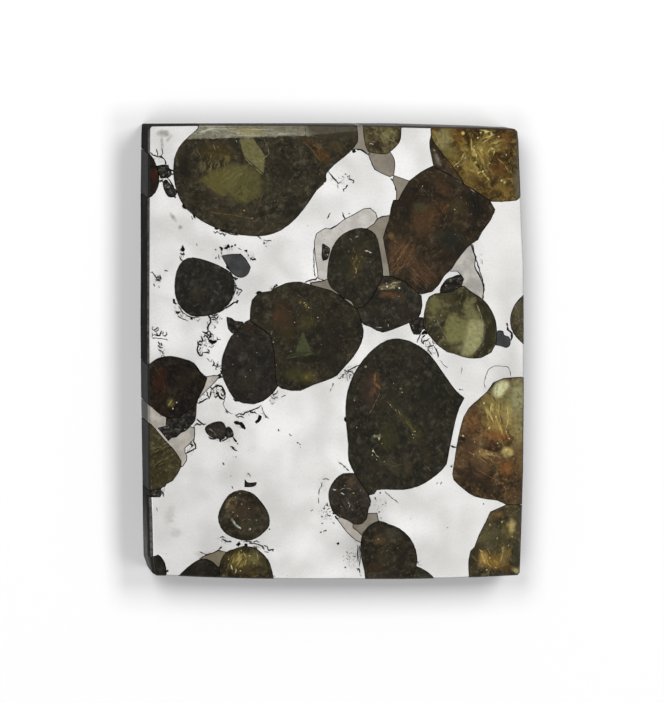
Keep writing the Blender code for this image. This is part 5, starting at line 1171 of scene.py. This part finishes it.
# %% The golden ones along the right edge
crystal("olivine_gold_right", (42, 35, 27), (88, 70, 46), [
    ("glow", 20.9, -7.0, 2.6, 2.6, -10, (134, 120, 72), 0.95),
    ("glow", 22.8, -6.8, 1.8, 3.0, 0, (126, 118, 74), 0.9),
    ("glow", 21.0, -9.6, 2.8, 1.6, -20, (146, 120, 68), 0.9),
    ("streaks", 20.8, -7.8, 3.2, 2.0, -78, (186, 166, 96), 0.8),
    ("streaks", 22.2, -10.2, 3.0, 1.6, -70, (190, 162, 92), 0.7),
    ("glow", 18.0, -9.4, 1.4, 2.4, -15, (96, 66, 42), 0.85),
    ("glow", 21.6, -10.9, 2.4, 0.9, -15, (132, 86, 48), 0.75),
    ("streaks", 20.2, -11.2, 2.6, 1.2, -30, (150, 104, 60), 0.7),
    ("glow", 19.6, -13.2, 1.6, 0.7, -10, (146, 118, 72), 0.85),
    ("streaks", 20.6, -13.6, 2.0, 0.9, -20, (190, 160, 104), 0.7),
    ("glow", 22.8, -13.0, 1.2, 0.9, 0, (186, 168, 106), 0.9),
    ("glow", 22.6, -15.2, 1.4, 1.6, 0, (136, 92, 50), 0.85),
    ("streaks", 22.0, -14.4, 3.2, 1.2, -45, (96, 62, 38), 0.8),
    ("glow", 18.0, -16.0, 2.6, 2.6, -30, (50, 40, 33), 1.0),
    ("glow", 17.4, -12.6, 1.2, 2.0, 0, (72, 54, 42), 0.8),
    ("glow", 20.4, -17.6, 2.6, 1.2, -25, (52, 42, 32), 0.9),
    ("streaks", 18.6, -15.2, 2.4, 1.6, -30, (98, 70, 52), 0.6),
    ("glow", 22.8, -18.6, 1.2, 0.7, 0, (84, 64, 40), 0.7),
    ("streaks", 18.0, -9.0, 2.6, 1.2, -50, (140, 100, 62), 0.6),
    ("haze", (226, 218, 164), 1.0, 20.2, -4.8, 21.2, -3.4, 23.2, -3.2, 23.5, -4.6, 22.0, -6.3, 20.7,
     -6.2),
    ("glow", 24.3, -5.8, 1.8, 4.0, 0, (152, 149, 108), 0.95),
    ("glow", 24.2, -10.2, 1.3, 3.4, 0, (150, 138, 88), 0.85),
    ("glow", 22.9, -8.2, 1.0, 2.4, 0, (168, 150, 92), 0.8),
    ("glow", 24.7, -14.0, 1.0, 4.0, 0, (104, 84, 52), 0.6),
    ("glow", 24.7, -17.6, 1.3, 2.4, 0, (52, 44, 34), 0.8),
    ("line", 0.14, (70, 62, 38), 0.85, 21.4, -4.2, 21.3, -5.0, 21.3, -5.8),
    ("line", 0.2, (44, 36, 26), 0.9, 20.6, -4.0, 21.0, -3.9, 21.5, -3.6),
    ("line", 0.3, (60, 44, 30), 0.8, 19.9, -5.2, 20.6, -5.6, 21.2, -6.4),
    ("line", 0.2, (90, 62, 38), 0.8, 20.5, -11.0, 22.2, -13.0, 24.0, -15.0),
    ("line", 0.18, (84, 56, 36), 0.8, 21.9, -6.2, 21.7, -8.0, 22.3, -9.8, 23.2, -11.2),
    ("line", 0.16, (86, 60, 38), 0.7, 19.6, -7.0, 19.9, -9.0, 19.4, -11.0),
    ("line", 0.16, (216, 196, 124), 0.8, 20.6, -6.6, 20.4, -8.0, 20.9, -9.2),
    ("line", 0.14, (222, 200, 128), 0.8, 22.7, -7.0, 22.9, -8.6, 22.6, -9.8),
    ("spots", 0.45, (216, 196, 160), 0.85, 16.75, -10.9),
    ("spots", 0.4, (220, 200, 124), 0.85, 21.2, -8.4, 19.6, -6.6, 20.3, -9.9, 22.6, -12.8),
    ("spots", 0.22, (236, 214, 150), 0.85, 22.6, -10.4, 19.9, -12.9, 20.7, -13.3, 19.0, -13.0, 18.3,
     -11.7, 21.4, -11.9, 23.0, -11.3, 18.2, -13.4),
    ("line", 0.12, (180, 130, 84), 0.7, 17.2, -12.8, 18.6, -13.6, 20.2, -14.6),
    ("line", 0.12, (150, 106, 66), 0.6, 18.4, -15.2, 20.2, -16.2, 21.8, -17.0),
], through=0.4, density=480.0, tint=(0.74, 0.56, 0.24))
crystal("olivine_gold_bottom_right", (46, 42, 31), (76, 68, 47), [
    ("glow", 20.9, -24.2, 2.4, 2.4, 0, (80, 76, 52), 0.9),
    ("glow", 22.8, -23.4, 1.3, 1.8, 0, (104, 90, 52), 0.8),
    ("glow", 21.5, -21.3, 1.3, 0.6, 0, (116, 88, 48), 0.8),
    ("glow", 21.0, -27.6, 1.9, 1.5, 0, (126, 98, 46), 0.9),
    ("streaks", 20.4, -27.4, 2.0, 1.3, -65, (178, 146, 72), 0.8),
    ("streaks", 22.6, -26.6, 1.8, 1.2, -80, (140, 118, 66), 0.7),
    ("glow", 23.9, -28.6, 0.9, 0.6, 0, (170, 162, 110), 0.85),
    ("glow", 18.6, -25.6, 0.8, 2.6, 15, (58, 48, 30), 0.8),
    ("streaks", 19.6, -24.0, 2.6, 0.8, 55, (110, 102, 70), 0.6),
    ("glow", 22.6, -28.4, 1.0, 1.0, 0, (92, 66, 34), 0.7),
    ("glow", 24.4, -22.0, 1.0, 2.4, 0, (64, 62, 46), 0.8),
    ("glow", 24.2, -26.4, 1.0, 2.2, 0, (56, 56, 42), 0.85),
    ("glow", 23.3, -22.8, 0.8, 1.3, 0, (176, 160, 104), 0.95),
    ("glow", 19.5, -27.2, 0.9, 1.5, 0, (168, 138, 78), 0.85),
    ("glow", 22.3, -26.8, 0.9, 2.2, 0, (124, 106, 62), 0.8),
    ("line", 0.3, (160, 148, 96), 0.8, 22.2, -25.5, 22.1, -26.6, 21.8, -27.5),
    ("line", 0.2, (216, 188, 110), 0.9, 19.2, -26.4, 19.6, -27.2, 19.8, -27.8),
    ("line", 0.16, (226, 206, 140), 0.85, 19.0, -25.9, 19.5, -26.4),
    ("spots", 0.26, (226, 198, 120), 0.85, 20.4, -27.0, 21.2, -28.3, 20.0, -28.6, 23.4, -24.2, 22.0,
     -22.3),
    ("spots", 0.3, (180, 172, 120), 0.8, 21.4, -24.4, 20.4, -22.6, 22.9, -25.4),
    ("line", 0.2, (44, 38, 26), 0.85, 19.9, -21.2, 18.9, -23.0, 18.2, -25.2),
    ("line", 0.16, (56, 48, 30), 0.8, 21.9, -23.6, 21.4, -25.4, 20.6, -26.6),
], through=0.38, density=560.0, tint=(0.70, 0.58, 0.26))

# %% Those along the lower edge
crystal("olivine_bottom_middle", (36, 33, 28), (50, 45, 35), [
    ("glow", 5.5, -24.6, 1.3, 0.9, 0, (88, 72, 48), 0.85),
    ("glow", 7.3, -23.8, 1.2, 1.0, 0, (66, 66, 54), 0.85),
    ("glow", 5.9, -26.9, 1.4, 1.4, 0, (60, 56, 40), 0.8),
    ("glow", 5.0, -28.2, 2.0, 1.0, 0, (64, 48, 34), 0.8),
    ("glow", 8.6, -27.0, 1.0, 2.0, 0, (38, 33, 27), 0.8),
    ("streaks", 6.0, -25.4, 2.2, 1.6, 40, (84, 70, 48), 0.5),
    ("spots", 0.4, (150, 122, 84), 0.8, 5.4, -24.5),
    ("spots", 0.14, (150, 140, 112), 0.8, 7.6, -24.6, 6.6, -26.0, 4.6, -26.8, 8.0, -25.6, 6.2,
     -27.9),
])
crystal("olivine_bottom_chip", (42, 42, 34), (58, 57, 46), [
    ("glow", 9.8, -28.4, 1.2, 0.6, 0, (70, 70, 54), 0.7),
])
crystal("olivine_bead", (38, 34, 27), (56, 51, 40), [
    ("glow", -12.7, -20.6, 2.0, 1.6, 0, (68, 54, 44), 0.8),
    ("streaks", -14.3, -19.8, 1.3, 1.0, 50, (150, 130, 96), 0.8),
    ("glow", -14.4, -20.2, 1.0, 1.4, 20, (92, 80, 58), 0.7),
    ("glow", -12.6, -22.6, 1.6, 0.7, -10, (64, 60, 42), 0.7),
    ("glow", -11.2, -20.4, 0.9, 1.6, 0, (54, 48, 36), 0.7),
    ("glow", -12.6, -24.0, 2.2, 0.6, 0, (36, 31, 24), 0.8),
    # painted highlight: the white streak and the white spot are light mirrored inside the round
    # bead
    ("line", 0.26, (244, 244, 236), 0.97, -14.0, -22.0, -13.7, -22.5, -13.3, -22.8, -13.0, -23.0),
    ("line", 0.5, (128, 132, 108), 0.7, -14.2, -21.7, -13.8, -22.5, -13.2, -22.9),
    ("spots", 0.3, (240, 236, 220), 0.95, -11.7, -23.1),
    ("spots", 0.5, (128, 112, 84), 0.7, -11.8, -23.1),
    ("spots", 0.18, (206, 190, 150), 0.85, -14.8, -20.2, -14.4, -19.3, -13.7, -18.9, -13.1, -18.4,
     -12.9, -19.8, -14.0, -20.9, -11.9, -20.4, -13.4, -21.4, -10.9, -21.9),
    ("line", 0.12, (150, 134, 100), 0.7, -13.6, -18.2, -12.6, -17.9, -11.8, -18.2),
    ("line", 0.14, (110, 104, 84), 0.7, -12.9, -22.0, -12.2, -21.7, -11.5, -22.0),
])
crystal("olivine_gold_bottom_left", (34, 30, 20), (62, 56, 37), [
    ("glow", -12.9, -27.2, 2.2, 1.5, 0, (112, 98, 52), 0.95),
    ("streaks", -13.6, -27.4, 1.9, 1.4, 65, (176, 158, 92), 0.8),
    ("glow", -11.2, -27.0, 1.3, 1.4, 0, (116, 108, 66), 0.8),
    ("streaks", -12.0, -27.8, 1.9, 1.0, -60, (60, 48, 26), 0.7),
    ("glow", -12.2, -28.8, 2.4, 0.5, 0, (78, 62, 34), 0.7),
    ("line", 0.24, (216, 200, 136), 0.9, -14.3, -27.8, -14.1, -28.4),
    ("line", 0.2, (206, 190, 124), 0.9, -13.6, -28.3, -13.7, -28.9),
    ("line", 0.2, (196, 180, 116), 0.85, -13.2, -26.7, -13.5, -27.3),
    ("line", 0.14, (186, 172, 120), 0.8, -12.6, -26.2, -12.2, -27.0, -12.5, -27.9),
    ("line", 0.14, (170, 160, 120), 0.8, -10.9, -26.2, -10.6, -27.2),
    ("spots", 0.2, (226, 214, 160), 0.85, -14.6, -27.1, -13.0, -28.6, -11.8, -26.6, -12.9, -25.9,
     -11.2, -27.6),
    ("line", 0.4, (36, 31, 20), 0.85, -15.6, -28.9, -15.2, -27.0, -14.2, -25.6, -12.6, -24.9, -11.0,
     -25.3, -9.7, -26.6, -9.2, -28.4),
], through=0.38, density=560.0, tint=(0.70, 0.60, 0.28))
crystal("olivine_dark_bottom_left", (30, 27, 22), (40, 36, 30), [
    ("glow", -18.2, -27.8, 1.6, 0.6, 10, (50, 44, 36), 0.7),
    ("spots", 0.14, (120, 114, 100), 0.7, -17.4, -27.6, -18.8, -28.3, -16.4, -28.2),
])
crystal("olivine_corner", (22, 20, 17), (40, 36, 30), [
    ("glow", -23.6, -26.0, 0.8, 0.6, 0, (104, 100, 90), 0.8),
    ("line", 0.1, (150, 146, 134), 0.7, -24.2, -25.6, -23.4, -25.8, -22.9, -26.5),
])

# %% [markdown]
# ### The crystals at the left edge
#
# The small crystals at the left edge are the darkest. What tells them apart are a few red-brown
# glows of rust and thin bright fractures, so they get few marks.

# %% Those along the left edge and the small ones
crystal("olivine_round_left", (34, 33, 29), (44, 43, 38), [
    ("glow", -18.9, 7.6, 1.6, 1.4, 0, (54, 50, 36), 0.7),
    ("glow", -17.0, 9.4, 1.4, 1.4, 0, (52, 46, 42), 0.6),
    ("line", 0.1, (120, 116, 108), 0.8, -16.6, 8.1, -16.2, 7.95, -15.9, 7.6),
    ("line", 0.08, (110, 104, 96), 0.7, -16.2, 9.3, -15.8, 9.1),
    ("spots", 0.13, (130, 124, 112), 0.8, -16.0, 9.2, -19.8, 8.4, -18.6, 6.4, -17.3, 10.6, -19.2,
     10.2, -16.9, 6.9, -15.6, 8.6),
    ("streaks", -18.2, 8.8, 2.2, 1.6, 60, (60, 56, 48), 0.5),
])
crystal("olivine_round_left_rim", (25, 19, 12), (38, 32, 25), [
    ("glow", -23.6, -3.6, 1.2, 2.4, 0, (54, 34, 22), 0.85),
    ("glow", -22.3, -6.5, 0.9, 0.8, 40, (92, 84, 48), 0.85),
    ("glow", -20.6, -3.6, 1.6, 1.4, 0, (46, 42, 32), 0.7),
    ("line", 0.36, (146, 136, 84), 0.9, -22.6, -6.9, -22.1, -6.2),
    ("spots", 0.26, (214, 206, 168), 0.9, -21.5, -6.5, -22.0, -7.3),
    ("streaks", -23.8, -4.8, 2.4, 0.9, -70, (60, 40, 26), 0.7),
    ("line", 0.1, (88, 72, 50), 0.7, -24.6, -1.6, -23.4, -3.4, -22.9, -5.2),
    ("spots", 0.14, (110, 98, 76), 0.7, -19.8, -2.6, -20.9, -5.4, -19.2, -4.9, -21.6, -1.4),
])
crystal("olivine_wedge_left", (48, 43, 27), (66, 61, 42), [
    ("streaks", -23.6, -12.2, 2.8, 1.4, 24, (98, 92, 62), 0.85),
    ("streaks", -23.4, -14.4, 2.8, 1.0, 28, (92, 86, 56), 0.8),
    ("glow", -23.6, -16.6, 1.6, 1.0, 20, (58, 52, 32), 0.7),
    ("line", 0.2, (38, 34, 22), 0.8, -25.0, -13.6, -23.4, -12.9, -21.8, -12.0),
    ("line", 0.14, (112, 106, 76), 0.75, -25.0, -12.8, -23.6, -12.2, -22.0, -11.5),
    ("line", 0.14, (104, 98, 68), 0.7, -25.0, -15.0, -23.4, -14.0, -21.5, -13.0),
    ("line", 0.14, (40, 35, 22), 0.8, -24.8, -10.2, -23.6, -10.9, -22.4, -11.9),
    ("spots", 0.2, (160, 150, 112), 0.8, -24.6, -14.4, -22.9, -15.4, -23.9, -11.2),
])
crystal("olivine_left_rim", (22, 17, 13), (38, 31, 25), [
    ("glow", -24.3, 23.2, 0.6, 1.2, 0, (66, 36, 26), 0.75),
    ("spots", 0.13, (90, 76, 62), 0.7, -24.0, 24.2, -24.4, 22.4, -23.8, 23.0),
])
crystal("olivine_small_left", (36, 32, 28), (52, 47, 41), [
    ("line", 0.12, (150, 146, 138), 0.8, -17.2, -9.9, -16.6, -10.3, -16.2, -10.9),
    ("spots", 0.13, (140, 134, 120), 0.8, -16.9, -10.8, -15.9, -10.1, -16.4, -11.2),
])
print("crystals painted:", len([n for n in nodes if n.startswith("olivine")]))

# %% [markdown]
# ## Schreibersite
#
# This iron-nickel phosphide takes a good polish but stays a warm grey beside the bright metal, with
# a fine grain. The bands that border the arch and the right-hand crystal are paler.

# %% Schreibersite
def taupe(names, dark, pale, specks):
    """A warm grey between two tones, with dark specks, for all these solids."""
    paint = Paint(names[0] + "_finish")
    cloud, fine = paint.noise(1.6, 5.0, rough=0.6), paint.noise(0.22, 4.0, rough=0.65)
    colour = paint.mix(cloud.ramp(0.35, 0.65), rgb(*dark), rgb(*pale))
    colour = paint.mix(fine.ramp(0.5, 0.7) * 0.35, colour, rgb(*[v * 0.72 for v in dark]))
    dots = paint.noise(0.35, 2.0).ramp(0.70, 0.74) * specks
    colour = paint.mix(dots, colour, rgb(40, 37, 34))
    colour = sawn(paint, colour)
    paint.set(Base_Color=colour, Metallic=0.75 - paint.wall * 0.75,
              Roughness=0.36 + (fine - 0.5) * 0.2, Normal=paint.bump(0.08, POLISH, fine),
              Specular_IOR_Level=0.1)
    wear(paint, *names)
    print(names[0], "and", len(names) - 1, "more are schreibersite")


taupe(["schreibersite_arch"], (192, 188, 180), (212, 208, 202), 0.9)
taupe(["schreibersite_right"], (166, 163, 156), (200, 196, 188), 0.8)
taupe(["schreibersite_left", "schreibersite_left_sliver"], (170, 164, 153), (198, 191, 182), 0.8)
taupe(["schreibersite_bottom_left"], (114, 105, 88), (136, 127, 108), 0.5)
taupe(["schreibersite_long_strip", "schreibersite_sliver", "schreibersite_sliver_end",
       "schreibersite_top_patch", "schreibersite_top_strip", "schreibersite_triangle"],
      (130, 123, 110), (148, 141, 127), 0.5)
taupe(["schreibersite_lower"], (124, 117, 104), (142, 134, 121), 0.5)
taupe(["schreibersite_lower_pale"], (176, 169, 158), (198, 192, 184), 0.9)

# %% [markdown]
# ## Troilite and rust
#
# Troilite, an iron sulphide, is the dull slate-grey grain. The black fillings of the pits are iron
# oxide: crumbly, so they get a strong bump, with a few bright crumbs of metal left in them.

# %% Troilite
slate = Paint("troilite")
cloud, fine = slate.noise(1.2, 5.0), slate.noise(0.25, 3.0)
colour = slate.mix(cloud.ramp(0.35, 0.65), rgb(36, 37, 38), rgb(54, 55, 55))
colour = slate.mix(fine.ramp(0.55, 0.75) * 0.35, colour, rgb(84, 86, 88))
slate.set(Base_Color=sawn(slate, colour), Metallic=0.0, Specular_IOR_Level=0.3,
          Roughness=0.42 + (fine - 0.5) * 0.2, Normal=slate.bump(0.15, POLISH, fine))
wear(slate, "troilite_grain", "troilite_beside_green")
print("troilite has", len(slate.tree.nodes), "nodes")

# %% Iron oxide
black = Paint("iron_oxide")
lumps, fine = black.noise(0.55, 6.0, rough=0.7), black.noise(0.16, 3.0)
colour = black.mix(lumps.ramp(0.42, 0.66), rgb(18, 17, 15), rgb(60, 55, 48))
bright = fine.ramp(0.61, 0.68) * lumps.ramp(0.5, 0.6)
colour = black.mix(bright * 0.8, colour, rgb(190, 186, 178))
black.set(Base_Color=sawn(black, colour), Metallic=bright, Specular_IOR_Level=0.15,
          Roughness=0.85 - bright * 0.4, Normal=black.bump(0.9, 10 * POLISH, lumps + fine * 0.2))
wear(black, *[n for n in nodes if n.startswith("oxide")])
print("finishes:", sorted(m.name for m in bpy.data.materials if m.users))
